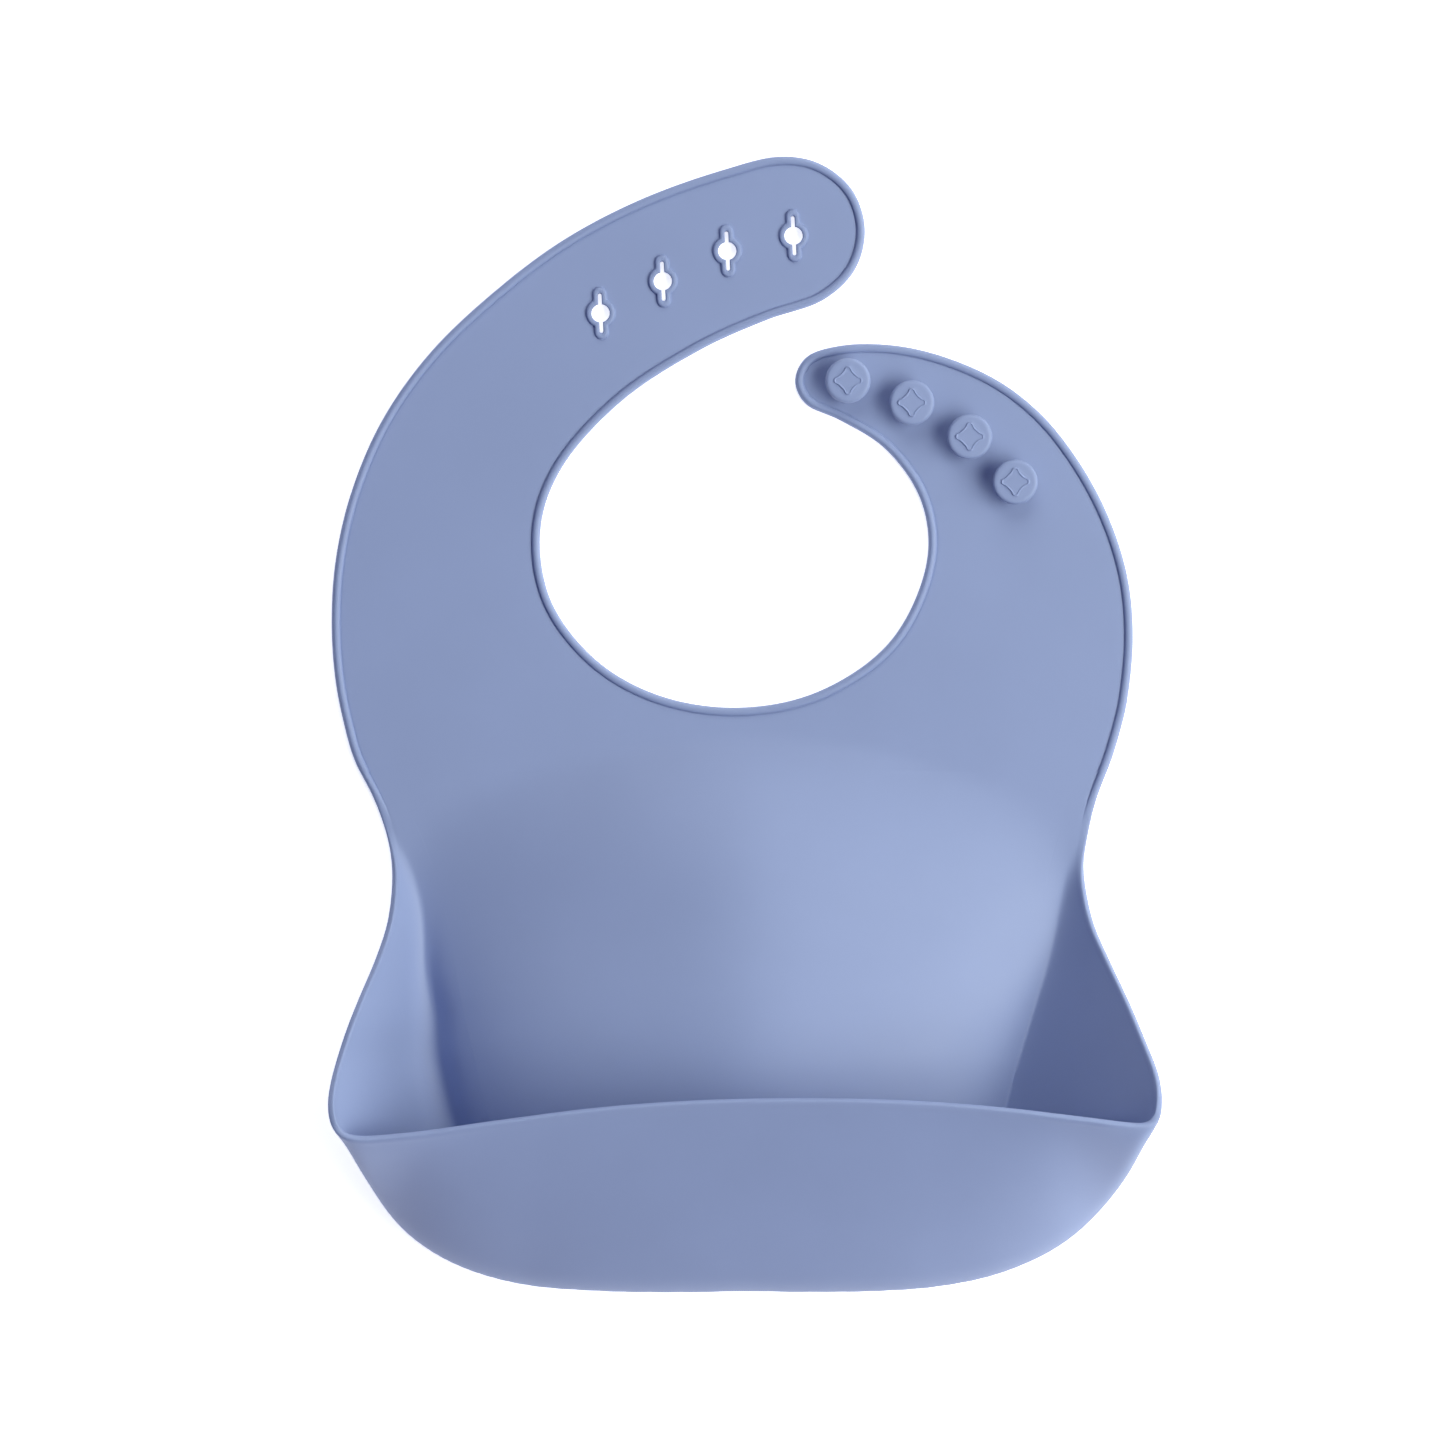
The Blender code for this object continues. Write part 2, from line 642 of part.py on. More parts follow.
def coons(top, bottom, left, right, us, vs):
    """Grid between four plan curves; us runs left to right and vs top to bottom."""
    t, b = at(top, us), at(bottom, us)
    lf, rt = at(left, vs), at(right, vs)
    u, v = us[:, None, None], vs[None, :, None]
    g = (1 - v) * t[:, None] + v * b[:, None] + (1 - u) * lf[None] + u * rt[None]
    g -= (
        (1 - u) * (1 - v) * t[0] + u * (1 - v) * t[-1] + (1 - u) * v * b[0] + u * v * b[-1]
    )
    return g


PANEL_TOP_Y = FOLD_Y - BEND_GAP / 2
side_gap = GAP / 2


def panel_side(side):
    """Plan edge of the panel on one side: the outer edge, then the crease."""
    outer = SIDE_L_CURVE if side < 0 else SIDE_R_CURVE
    crease = CREASE_L_CURVE if side < 0 else CREASE_R_CURVE
    o = outer[(outer[:, 1] <= PANEL_TOP_Y) & (outer[:, 1] >= -20.5)]
    x0 = np.interp(-PANEL_TOP_Y, -outer[:200, 1], outer[:200, 0])
    c = crease[crease[:, 1] < -22.5].copy()
    c[:, 0] -= side * side_gap
    edge = np.vstack([[x0, PANEL_TOP_Y], o, c])
    # settle the join between the two into one smooth line
    for _ in range(6):
        edge[1:-1] = (edge[:-2] + 2 * edge[1:-1] + edge[2:]) / 4
    return resample(edge, 0.5)


left_edge, right_edge = panel_side(-1), panel_side(1)
i0 = int(np.argmin(np.linalg.norm(RIDGE - left_edge[-1], axis=1)))
i1 = int(np.argmin(np.linalg.norm(RIDGE - right_edge[-1], axis=1)))
left_edge = np.vstack([left_edge[:-1], RIDGE[i0]])
right_edge = np.vstack([right_edge[:-1], RIDGE[i1]])
top_edge = np.array([left_edge[0], right_edge[0]])
bottom_edge = RIDGE[i0 : i1 + 1]

span = np.linalg.norm(top_edge[1] - top_edge[0])
edge_d = np.array([0.0, 0.4, 1.15, 1.9, BEAD_WIDE, 5.0]) / span
inner_u = np.linspace(10.0, span / 2, 8) / span
us = np.concatenate([edge_d, inner_u])
us = np.concatenate([us, (1 - us[:-1])[::-1]])
ys = np.concatenate(
    [np.linspace(0, 0.94, 21), 1 - 0.03 * (1 - np.sin(np.linspace(0, 1, 5) * math.pi / 2))]
)
ys = np.unique(np.round(ys, 5))
plan = coons(top_edge, bottom_edge, left_edge, right_edge, us, ys)
grid, n = body_point(plan[..., 0], plan[..., 1])
# the last row stops just under the fold so that the front wall has its clearance
grid[:, -1, 2] -= 0.4
bead_fade = step01((plan[..., 1] + 24.0) / 12.0)
from_edge = np.minimum(
    np.linalg.norm(plan - plan[:1], axis=2), np.linalg.norm(plan - plan[-1:], axis=2)
)
bead = np.clip(1 - ((from_edge - BEAD_WIDE / 2) / (BEAD_WIDE / 2)) ** 2, 0, None) ** 0.5
up = SHEET / 2 + (BEAD_TOP - SHEET) * bead * bead_fade
verts, faces = thick_patch_normals(grid, n, up, SHEET / 2)
tidy(new_object("lower_panel", verts, faces, origin=(0.0, FOLD_Y, BEND_Z)), 40)


# ---- side walls --------------------------------------------------------------
def gusset(name, side):
    outer = SIDE_L_CURVE if side < 0 else SIDE_R_CURVE
    crease = CREASE_L_CURVE if side < 0 else CREASE_R_CURVE
    corner = CORNER_L if side < 0 else CORNER_R
    inner = crease[crease[:, 1] < -25.0].copy()
    inner[:, 0] += side * side_gap
    o0 = int(np.argmin(np.abs(outer[:120, 1] + 24.6)))
    oc = int(np.argmin(np.linalg.norm(outer - np.array(corner), axis=1)))
    oe = int(np.argmin(np.linalg.norm(outer - inner[-1], axis=1))) - 1
    rim, fold = outer[o0 : oc + 1], outer[oc : oe + 1]
    nv1, nv2, nw = 14, 13, 6
    o = np.vstack([at(rim, np.linspace(0, 1, nv1)), at(fold, np.linspace(0, 1, nv2))[1:]])
    f = np.concatenate(
        [np.linspace(0, 0.60, nv1), 0.60 + 0.40 * np.linspace(0, 1, nv2)[1:]]
    )
    c = at(inner, f)
    ws = np.concatenate([np.linspace(0, 0.82, nw), [0.9, 0.96, 0.985, 1.0]])
    ws = np.unique(ws)
    plan = c[None] + (o - c)[None] * ws[:, None, None]
    # how far along the edge has become the fold rather than a free rim
    s = np.concatenate([[0], np.cumsum(np.linalg.norm(np.diff(o, axis=0), axis=1))])
    share = step01((s - s[nv1 - 1] + 7.0) / 8.0)[None, :] * np.ones((len(ws), 1))
    g, n = body_point(plan[..., 0], plan[..., 1], share)
    g[-1, nv1 - 1 :, 2] -= 0.5
    thick = np.full(g.shape[:2], SHEET / 2)
    thick[:, -1] = 0.6
    thick[:, 0] = 0.7
    verts, faces = thick_patch_normals(g, n, thick, thick)
    tidy(new_object(name, verts, faces, origin=(*corner, 40.0)), 40)


gusset("gusset_left", -1)
gusset("gusset_right", 1)

# ---- front wall --------------------------------------------------------------
nu = 35
fu = np.linspace(0.010, 0.990, nu)
fu = fu - 0.045 * np.sin(2 * math.pi * fu) / 1.6
low_line = at(RIDGE, fu)
top_line = at(LIP_CURVE, fu)
length = np.linalg.norm(top_line - low_line, axis=1)
around = np.sin(np.linspace(0.0, 1, 5) * math.pi / 2)
rows = []
for k in range(nu):
    near = FOLD_IN * (1 - np.cos(np.linspace(0, 1, 5) * math.pi / 2)) / max(length[k], 7.0)
    rows.append(np.concatenate([near, np.linspace(near[-1], 1, 9)[1:-1], [1 - 2.0 / max(length[k], 7.0), 1.0]]))
ts = np.sort(np.array(rows), axis=1)
plan = low_line[:, None] + (top_line - low_line)[:, None] * ts[..., None]
z0 = floor_z(low_line[:, 0], low_line[:, 1]) + RIDGE_HALF
lip_z = LIP_Z - 2.6 * np.abs(2 * fu - 1) ** 5
lip_z = np.maximum(lip_z, z0 + RIDGE_HALF + 0.2)
d = ts * length[:, None]
z = (
    z0[:, None]
    + RIDGE_HALF * quarter(d / FOLD_IN)
    + (lip_z - z0 - RIDGE_HALF)[:, None] * (ts * (1 + 0.3 * (1 - ts)))
)
g = np.dstack([plan, z])
n = np.cross(np.gradient(g, axis=0), np.gradient(g, axis=1))
n /= np.maximum(np.linalg.norm(n, axis=2, keepdims=True), 1e-9)
n = np.where((n @ np.array([0, -0.6, 0.8]))[..., None] < 0, -n, n)
_, inward = ridge_info(plan[:, 0, 0], plan[:, 0, 1])
n[:, 0, :2] = -inward
n[:, 0, 2] = 0.0
g[:, 0, 2] += 0.7
thick = SHEET / 2 + 0.35 * step01((d - length[:, None] + 3.0) / 1.5)
thick = np.minimum(thick, 0.6 + 0.02 * d + 0.1 * length[:, None])
verts, faces = thick_patch_normals(g, n, thick, thick)
tidy(new_object("pocket_front", verts, faces, origin=POCKET_AXIS), 40)

for obj in bib.objects:
    obj.location.x += SHIFT[0] * MM
    obj.location.y += SHIFT[1] * MM
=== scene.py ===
"""Looks of a silicone bib lying on its back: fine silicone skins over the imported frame."""

import math

import bmesh
import bpy
import numpy as np
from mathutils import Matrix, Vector
from mathutils.geometry import delaunay_2d_cdt


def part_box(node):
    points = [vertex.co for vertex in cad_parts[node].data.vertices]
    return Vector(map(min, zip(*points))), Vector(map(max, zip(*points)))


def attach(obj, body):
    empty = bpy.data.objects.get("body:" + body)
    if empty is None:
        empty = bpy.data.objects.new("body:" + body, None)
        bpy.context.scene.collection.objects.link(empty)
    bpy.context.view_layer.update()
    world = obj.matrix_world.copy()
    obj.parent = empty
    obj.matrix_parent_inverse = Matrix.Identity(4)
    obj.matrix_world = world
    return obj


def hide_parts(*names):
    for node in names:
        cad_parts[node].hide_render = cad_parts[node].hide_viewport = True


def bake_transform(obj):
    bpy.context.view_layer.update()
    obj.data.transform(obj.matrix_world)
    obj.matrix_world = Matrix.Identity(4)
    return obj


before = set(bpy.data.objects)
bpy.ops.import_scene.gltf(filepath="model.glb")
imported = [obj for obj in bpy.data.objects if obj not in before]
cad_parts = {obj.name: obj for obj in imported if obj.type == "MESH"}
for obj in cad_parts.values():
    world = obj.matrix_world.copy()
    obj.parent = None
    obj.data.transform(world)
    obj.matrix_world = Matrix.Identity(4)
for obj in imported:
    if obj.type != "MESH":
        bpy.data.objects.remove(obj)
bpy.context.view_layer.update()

MM = 0.001

# ---- dimensions in mm, the same ones as the solids' ---------------------------
SHEET = 1.8
HALF = SHEET / 2
BEAD_TOP = 2.65
BEAD_WIDE = 2.3
HOLE_D, SLIT_W, SLIT_L = 4.9, 1.0, 10.6
COLLAR_D, COLLAR_ARM_W, COLLAR_L = 7.8, 3.7, 14.1
LIP_Z = 46.0
RIDGE_HALF = 3.2
FOLD_IN = 4.2
SLOPE_L, SLOPE_R = 1.45, 1.04
SWELL = 23.0
FLAT_OUTLINE = [
    (-107.8, -0.1), (-110.1, 11.7), (-111.1, 26.4), (-110.1, 43.4),
    (-105.9, 61.9), (-97.5, 81.5), (-84.7, 99.5), (-66.9, 116.4), (-48.9, 129.8),
    (-28.3, 140.6), (-6.0, 148.6), (9.3, 152.2), (20.0, 150.3), (28.7, 143.2),
    (32.1, 132.5), (29.4, 121.8), (21.0, 113.7), (5.8, 108.3), (-12.2, 100.2),
    (-33.7, 86.1), (-49.8, 67.8), (-55.0, 52.0), (-52.3, 33.2), (-40.0, 17.0),
    (-23.0, 7.5), (-1.5, 4.3), (20.0, 8.8), (39.1, 22.4), (48.7, 43.9),
    (47.0, 60.0), (37.5, 73.7), (25.1, 81.5), (16.0, 85.8), (13.2, 92.0),
    (16.2, 98.3), (25.4, 101.4), (38.8, 101.6), (52.2, 98.8), (67.5, 92.2),
    (79.6, 82.8), (89.8, 69.8), (97.8, 54.6), (102.7, 38.5), (104.0, 22.4),
    (102.5, 6.3), (101.1, -0.1),
]
SIDE_L = [
    (-107.8, -0.1), (-105.0, -9.8), (-99.6, -20.5), (-95.9, -31.3), (-94.3, -40.6),
    (-95.1, -52.5), (-98.2, -62.9), (-102.4, -73.4), (-106.1, -83.7), (-109.0, -94.0),
    (-109.6, -99.2), (-108.8, -104.6), (-106.5, -110.1), (-101.6, -121.3),
    (-94.7, -132.5), (-87.1, -139.6), (-76.5, -145.6), (-60.5, -150.3),
    (-39.0, -152.1), (-17.6, -152.4), (0.0, -152.1),
]
SIDE_R = [
    (101.1, -0.1), (98.2, -9.8), (94.1, -20.5), (91.6, -31.3), (90.5, -39.3),
    (92.5, -52.5), (96.7, -62.9), (101.4, -73.4), (105.5, -83.7), (109.1, -94.0),
    (109.3, -99.2), (108.3, -104.6), (106.4, -110.1), (101.6, -121.3),
    (93.3, -132.5), (83.1, -140.8), (68.1, -147.5), (52.1, -150.9),
    (36.0, -152.1), (14.6, -152.3), (0.0, -152.1),
]
CORNER_L, CORNER_R = (-108.9, -104.6), (108.6, -103.6)
LIP = [
    CORNER_L, (-107.4, -107.4), (-103.6, -108.9), (-91.1, -108.4), (-64.8, -104.7),
    (-38.4, -101.3), (-12.1, -99.4), (14.2, -98.9), (40.6, -99.4), (66.9, -101.3),
    (88.0, -103.9), (101.1, -105.4), (106.4, -105.3), CORNER_R,
]
CREASE_L = [
    (-99.2, -21.5), (-92.8, -31.3), (-87.9, -42.0), (-84.7, -52.8), (-82.6, -63.5),
    (-80.2, -74.2), (-77.0, -87.7), (-73.2, -103.8), (-67.6, -122.6),
    (-61.6, -138.7), (-56.0, -149.9),
]
CREASE_R = [
    (93.6, -21.5), (89.0, -31.3), (85.5, -42.0), (83.4, -52.8), (81.0, -63.5),
    (77.6, -74.2), (73.4, -87.7), (68.8, -103.8), (63.8, -122.6),
    (58.6, -138.7), (53.9, -149.9),
]
# where the pocket's shell meets the plain panel, from the upper left round the bottom
SEAM_Y = -13.0
INNER = [
    (-95.6, SEAM_Y), (-91.6, -21.0), (-86.6, -31.0), (-82.3, -42.0), (-79.4, -53.0),
    (-77.6, -63.5), (-75.6, -74.2), (-72.4, -88.0), (-68.6, -103.8), (-63.4, -121.0),
    (-56.6, -134.5), (-48.0, -141.6), (-30.0, -143.9), (0.0, -144.2), (30.0, -143.9),
    (46.0, -141.7), (53.6, -134.8), (59.4, -121.0), (64.0, -103.8), (68.6, -88.0),
    (72.6, -74.2), (75.6, -63.5), (78.3, -53.0), (80.6, -42.0), (83.7, -31.0),
    (87.0, -21.0), (89.4, SEAM_Y),
]
INNER_BREAKS = (8, 13, 18)  # the points that face the lip's corners and the middle
STUD_1 = (27.4, 91.8)
NECK_SEAM_Y = 16.0
HOLE_SEAM_Y = 66.0
STUD_SEAM_Y = 52.0


def centre(node):
    lo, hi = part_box(node)
    return ((lo.x + hi.x) / 2 / MM, (lo.y + hi.y) / 2 / MM)


SHIFT = np.array(centre("stud_1")) - np.array(STUD_1)
KEYS = [np.array(centre(f"keyhole_collar_{i}")) - SHIFT for i in range(1, 5)]
STUDS = [np.array(centre(f"stud_{i}")) - SHIFT for i in range(1, 5)]


# ---- curves -------------------------------------------------------------------
def resample(q, step, closed=False):
    if closed:
        q = np.vstack([q, q[0]])
    s = np.concatenate([[0], np.cumsum(np.linalg.norm(np.diff(q, axis=0), axis=1))])
    n = max(2, int(round(s[-1] / step)) + 1)
    t = np.linspace(0, s[-1], n)
    r = np.column_stack([np.interp(t, s, q[:, k]) for k in range(q.shape[1])])
    return r[:-1] if closed else r


def spline(points, step, closed=False):
    p = np.array(points, float)
    if closed:
        p = np.vstack([p[-1], p, p[0], p[1]])
    else:
        p = np.vstack([2 * p[0] - p[1], p, 2 * p[-1] - p[-2]])
    out = []
    for i in range(1, len(p) - 2):
        a, b, c, d = p[i - 1], p[i], p[i + 1], p[i + 2]
        t0 = 0.0
        t1 = t0 + max(np.linalg.norm(b - a), 1e-9) ** 0.5
        t2 = t1 + max(np.linalg.norm(c - b), 1e-9) ** 0.5
        t3 = t2 + max(np.linalg.norm(d - c), 1e-9) ** 0.5
        for t in np.linspace(t1, t2, 41)[:-1]:
            a1 = (t1 - t) / (t1 - t0) * a + (t - t0) / (t1 - t0) * b
            a2 = (t2 - t) / (t2 - t1) * b + (t - t1) / (t2 - t1) * c
            a3 = (t3 - t) / (t3 - t2) * c + (t - t2) / (t3 - t2) * d
            b1 = (t2 - t) / (t2 - t0) * a1 + (t - t0) / (t2 - t0) * a2
            b2 = (t3 - t) / (t3 - t1) * a2 + (t - t1) / (t3 - t1) * a3
            out.append((t2 - t) / (t2 - t1) * b1 + (t - t1) / (t2 - t1) * b2)
    if not closed:
        out.append(p[-2])
    return resample(np.array(out), step, closed)


def lengths(curve):
    return np.concatenate(
        [[0], np.cumsum(np.linalg.norm(np.diff(curve, axis=0), axis=1))]
    )


def at(curve, f):
    s = lengths(curve)
    s = s / s[-1]
    return np.column_stack([np.interp(f, s, curve[:, k]) for k in range(curve.shape[1])])


def soften(curve, times):
    """Rounds the small kinks that a spline keeps, with its ends held."""
    q = curve.copy()
    for _ in range(times):
        q[1:-1] = (q[:-2] + 2 * q[1:-1] + q[2:]) / 4
    return q


CREASE_L_CURVE = soften(spline(CREASE_L, 0.5), 60)
CREASE_R_CURVE = soften(spline(CREASE_R, 0.5), 60)
# the outer edge seen from above, whole: straps, sides, then round the bottom
AROUND = FLAT_OUTLINE + SIDE_R[1:] + SIDE_L[::-1][1:-1]
OUTER = spline(AROUND, 0.4, closed=True)
for _ in range(12):
    OUTER = (np.roll(OUTER, 1, axis=0) + 2 * OUTER + np.roll(OUTER, -1, axis=0)) / 4
LIP_CURVE = soften(spline(LIP, 0.4), 10)


def drawn_in(curve):
    """Moved in by half the sheet where the edge becomes the fold, so that the fold's
    outer face and not its middle lies on the outline."""
    t = np.roll(curve, -1, axis=0) - np.roll(curve, 1, axis=0)
    t /= np.linalg.norm(t, axis=1, keepdims=True)
    n = np.column_stack([-t[:, 1], t[:, 0]])
    area = np.sum(curve[:, 0] * np.roll(curve[:, 1], -1) - np.roll(curve[:, 0], -1) * curve[:, 1])
    share = np.clip((-104.0 - curve[:, 1]) / 10.0, 0, 1)
    share = share * share * (3 - 2 * share)
    return curve + (n if area > 0 else -n) * (HALF * share)[:, None]


OUTER = drawn_in(OUTER)


def nearest(curve, point):
    return int(np.argmin(np.linalg.norm(curve - np.array(point), axis=1)))


def outer_part(a, b):
    """The outer edge from near point a to near point b, in its own direction."""
    i, j = nearest(OUTER, a), nearest(OUTER, b)
    if j < i:
        return np.vstack([OUTER[i:], OUTER[: j + 1]])
    return OUTER[i : j + 1]


# OUTER runs from the left shoulder round the straps to the right side, down, along
# the bottom to the left and up; the fold is its part between the lip's corners
RIDGE = outer_part(CORNER_R, CORNER_L)[::-1]
RIDGE[0] = CORNER_L
RIDGE[-1] = CORNER_R
RIDGE = soften(RIDGE, 4)


def ridge_info(x, y):
    """Distance from the fold on the plan, and the fold's inward normal there."""
    t = np.gradient(RIDGE, axis=0)
    t /= np.linalg.norm(t, axis=1, keepdims=True)
    inward = np.column_stack([-t[:, 1], t[:, 0]])
    p = np.column_stack([np.ravel(x), np.ravel(y)])
    where = np.zeros(len(p), int)
    best = np.full(len(p), 1e9)
    for i in range(0, len(p), 4000):
        q = p[i : i + 4000]
        d = ((q[:, None, :] - RIDGE[None, ::4, :]) ** 2).sum(axis=2)
        where[i : i + 4000] = d.argmin(axis=1) * 4
    for off in range(-5, 5):
        a = RIDGE[np.clip(where + off, 0, len(RIDGE) - 1)]
        b = RIDGE[np.clip(where + off + 1, 0, len(RIDGE) - 1)]
        ab = b - a
        f = np.clip(
            np.sum((p - a) * ab, axis=1) / np.maximum(np.sum(ab * ab, axis=1), 1e-12), 0, 1
        )
        best = np.minimum(best, np.linalg.norm(p - a - f[:, None] * ab, axis=1))
    return best.reshape(np.shape(x)), inward[where].reshape(np.shape(x) + (2,))


# ---- the body's surface --------------------------------------------------------
def smooth_abs(v, a):
    return np.sqrt(v * v + a * a) - a


def step01(t):
    t = np.clip(t, 0.0, 1.0)
    return t * t * (3 - 2 * t)


def quarter(t):
    t = np.clip(t, 0.0, 1.0)
    return np.sqrt(np.clip(1 - (1 - t) ** 2, 0, None))


def crease_x(curve, y):
    order = np.argsort(curve[:, 1])
    return np.interp(y, curve[order, 1], curve[order, 0])


def ramp(v, w):
    """Zero slope at v = 0, growing evenly to a slope of 1 at v = w."""
    return np.where(v < w, v * v / (2 * w), v - w / 2)


def floor_z(x, y):
    """Middle of the sheet: yoke, panel and side walls."""
    xl, xr = crease_x(CREASE_L_CURVE, y), crease_x(CREASE_R_CURVE, y)
    # the bottom of the left fold lies a little outside the crease line
    reach = step01((-46.0 - y) / 26.0) * (1 - step01((-108.0 - y) / 26.0))
    xl = xl - reach * (2.5 + 2.0 * step01((-76.0 - y) / 14.0))
    tl = np.where(y > -42, -87.9 + (y + 42) * -0.03, xl)
    tr = np.where(y > -42, 85.5 + (y + 42) * 0.03, xr)
    mid = -1.5
    side = np.where(x < mid, (mid - x) / (mid - tl + 3.4), (x - mid) / (tr - mid + 1.2))
    soft = np.sqrt(side**2 + 0.17**2) - (math.sqrt(1 + 0.17**2) - 1)
    near = np.clip(side, 0, 1)
    low = step01((-40.0 - y) / 45.0)
    tent = 1 - (0.70 - 0.26 * low) * soft - (0.14 + 0.20 * low) * near**2 - (0.16 + 0.06 * low) * near**5
    steep = np.where(x < mid, 0.30, 0.06) * low
    tent = tent + steep * (near**2 - near**9)
    tent = np.clip(tent, 0, None)
    arc = -1.4 - 22.0 * ((x - mid) / 93.0) ** 2
    below = np.clip(arc - y, 0, None)
    rise = np.tanh(smooth_abs(below, 4.0) / 34.0)
    fade = 1 - 0.88 * step01((-104.0 - y) / 46.0)
    tent = tent * SWELL * rise * fade * (1 + 0.12 * step01((-46.0 - y) / 44.0))
    out = np.clip(np.maximum(xl - 1.5 * reach - x, x - xr), 0, None)
    slope = np.where(x < mid, SLOPE_L, SLOPE_R) * step01((-21.5 - y) / 24.0) * (
        1 - 0.93 * step01((-104.0 - y) / 32.0)
    )
    # the left wall leaves the panel in a wide fillet, the right one in a tight fold
    fillet = 6.0 + 6.0 * step01((-62.0 - y) / 32.0)
    left = slope * (1 + 0.25 * reach) * ramp(out, fillet)
    right = smooth_abs(slope * out, 1.6 + 1.8 * step01((y + 95.0) / 50.0))
    wall = np.where(x < mid, left, right)
    # the panel leaves the bottom of the left fold in a rounded hollow
    away = np.clip(1 - side, 0, None) * (mid - tl + 3.4)
    tent = tent * (1 - np.where(x < mid, reach * np.exp(-((away / 4.2) ** 2)), 0))
    round_off = 0.8 + np.where(x < mid, 0.8 * reach * step01((side - 0.5) / 0.4), 0)
    return HALF + smooth_abs(tent, round_off) + wall


def sheet_point(x, y, share=0.0):
    """Point and normal of the sheet's middle over the plan point (x, y)."""
    h = 0.05
    z = floor_z(x, y)
    gx = (floor_z(x + h, y) - floor_z(x - h, y)) / (2 * h)
    gy = (floor_z(x, y + h) - floor_z(x, y - h)) / (2 * h)
    n = np.stack([-gx, -gy, np.ones(np.shape(x))], axis=-1)
    n /= np.linalg.norm(n, axis=-1, keepdims=True)
    return np.stack([x, y, z], axis=-1), n


# ---- edge profiles ---------------------------------------------------------------
EDGE_D = np.array(
    [0.0, 0.03, 0.12, 0.27, 0.46, 0.7, 0.95, 1.2, 1.45, 1.7, 1.92, 2.1, 2.24, 2.33, 2.45, 2.65, 3.0]
)


def bead_up(d):
    """Top face over the sheet's middle at distance d from a beaded edge."""
    r = BEAD_WIDE / 2
    arch = np.sqrt(np.clip(1 - ((d - r) / r) ** 2, 0, None))
    outer = (BEAD_TOP - HALF) * np.clip(arch, 0, None) ** 0.8
    inner = HALF - 0.10 + (BEAD_TOP - 2 * HALF + 0.10) * arch**0.9
    flat = HALF - 0.10 * (1 - step01((d - BEAD_WIDE) / 0.45))
    return np.where(d < r, outer, np.where(d < BEAD_WIDE, inner, flat))


def bead_down(d):
    return HALF * quarter(d / 0.5) ** 0.7


def plain_face(d):
    """Either face at distance d from a plain edge with small roundings."""
    t = np.clip(d / 0.75, 0, 1)
    return HALF * (1 - (1 - t) ** 3) ** (1 / 3) + 0.05 * np.exp(-(((d - 1.3) / 0.6) ** 2))


def edge_faces(d, bead):
    up = bead * bead_up(d) + (1 - bead) * plain_face(d)
    down = bead * bead_down(d) + (1 - bead) * plain_face(d)
    return up, down


# ---- mesh helpers -----------------------------------------------------------------
MADE = []


def make_object(name, verts, faces, smooth=40.0):
    v = np.asarray(verts, float).copy()
    v[:, :2] += SHIFT
    v *= MM
    mesh = bpy.data.meshes.new(name)
    mesh.from_pydata(v.tolist(), [], [tuple(int(i) for i in f) for f in faces])
    mesh.validate()
    bm = bmesh.new()
    bm.from_mesh(mesh)
    bmesh.ops.remove_doubles(bm, verts=bm.verts, dist=2e-7)
    bmesh.ops.recalc_face_normals(bm, faces=bm.faces)
    if bm.calc_volume(signed=True) < 0:
        bmesh.ops.reverse_faces(bm, faces=bm.faces)
    bm.to_mesh(mesh)
    bm.free()
    mesh.shade_smooth()
    mesh.set_sharp_from_angle(angle=math.radians(smooth))
    obj = bpy.data.objects.new(name, mesh)
    bpy.context.scene.collection.objects.link(obj)
    MADE.append(obj)
    return obj


def inside(points, loop):
    """Which points lie inside a closed polygon."""
    x, y = points[:, 0], points[:, 1]
    hit = np.zeros(len(points), bool)
    a, b = loop, np.roll(loop, -1, axis=0)
    for (x0, y0), (x1, y1) in zip(a, b):
        if y0 == y1:
            continue
        cross = (y0 > y) != (y1 > y)
        hit ^= cross & (x < (x1 - x0) * (y - y0) / (y1 - y0) + x0)
    return hit


def fill_points(loop, holes, pitch):
    """Plan points on a staggered grid, inside the loop and clear of its edges."""
    lo, hi = loop.min(0), loop.max(0)
    pts = []
    row = 0
    y = math.floor(lo[1] / pitch) * pitch
    while y < hi[1]:
        xs = np.arange(math.floor(lo[0] / pitch) * pitch, hi[0], pitch) + (row % 2) * pitch / 2
        pts.append(np.column_stack([xs, np.full(len(xs), y)]))
        y += pitch * 0.87
        row += 1
    pts = np.vstack(pts)
    pts = pts[inside(pts, loop)]
    for h in holes:
        pts = pts[~inside(pts, h)]
    for poly in [loop, *holes]:
        keep = np.ones(len(pts), bool)
        for i in range(0, len(poly), 400):
            d = np.linalg.norm(pts[:, None] - poly[None, i : i + 400], axis=2).min(1)
            keep &= d > pitch * 0.62
        pts = pts[keep]
    return pts


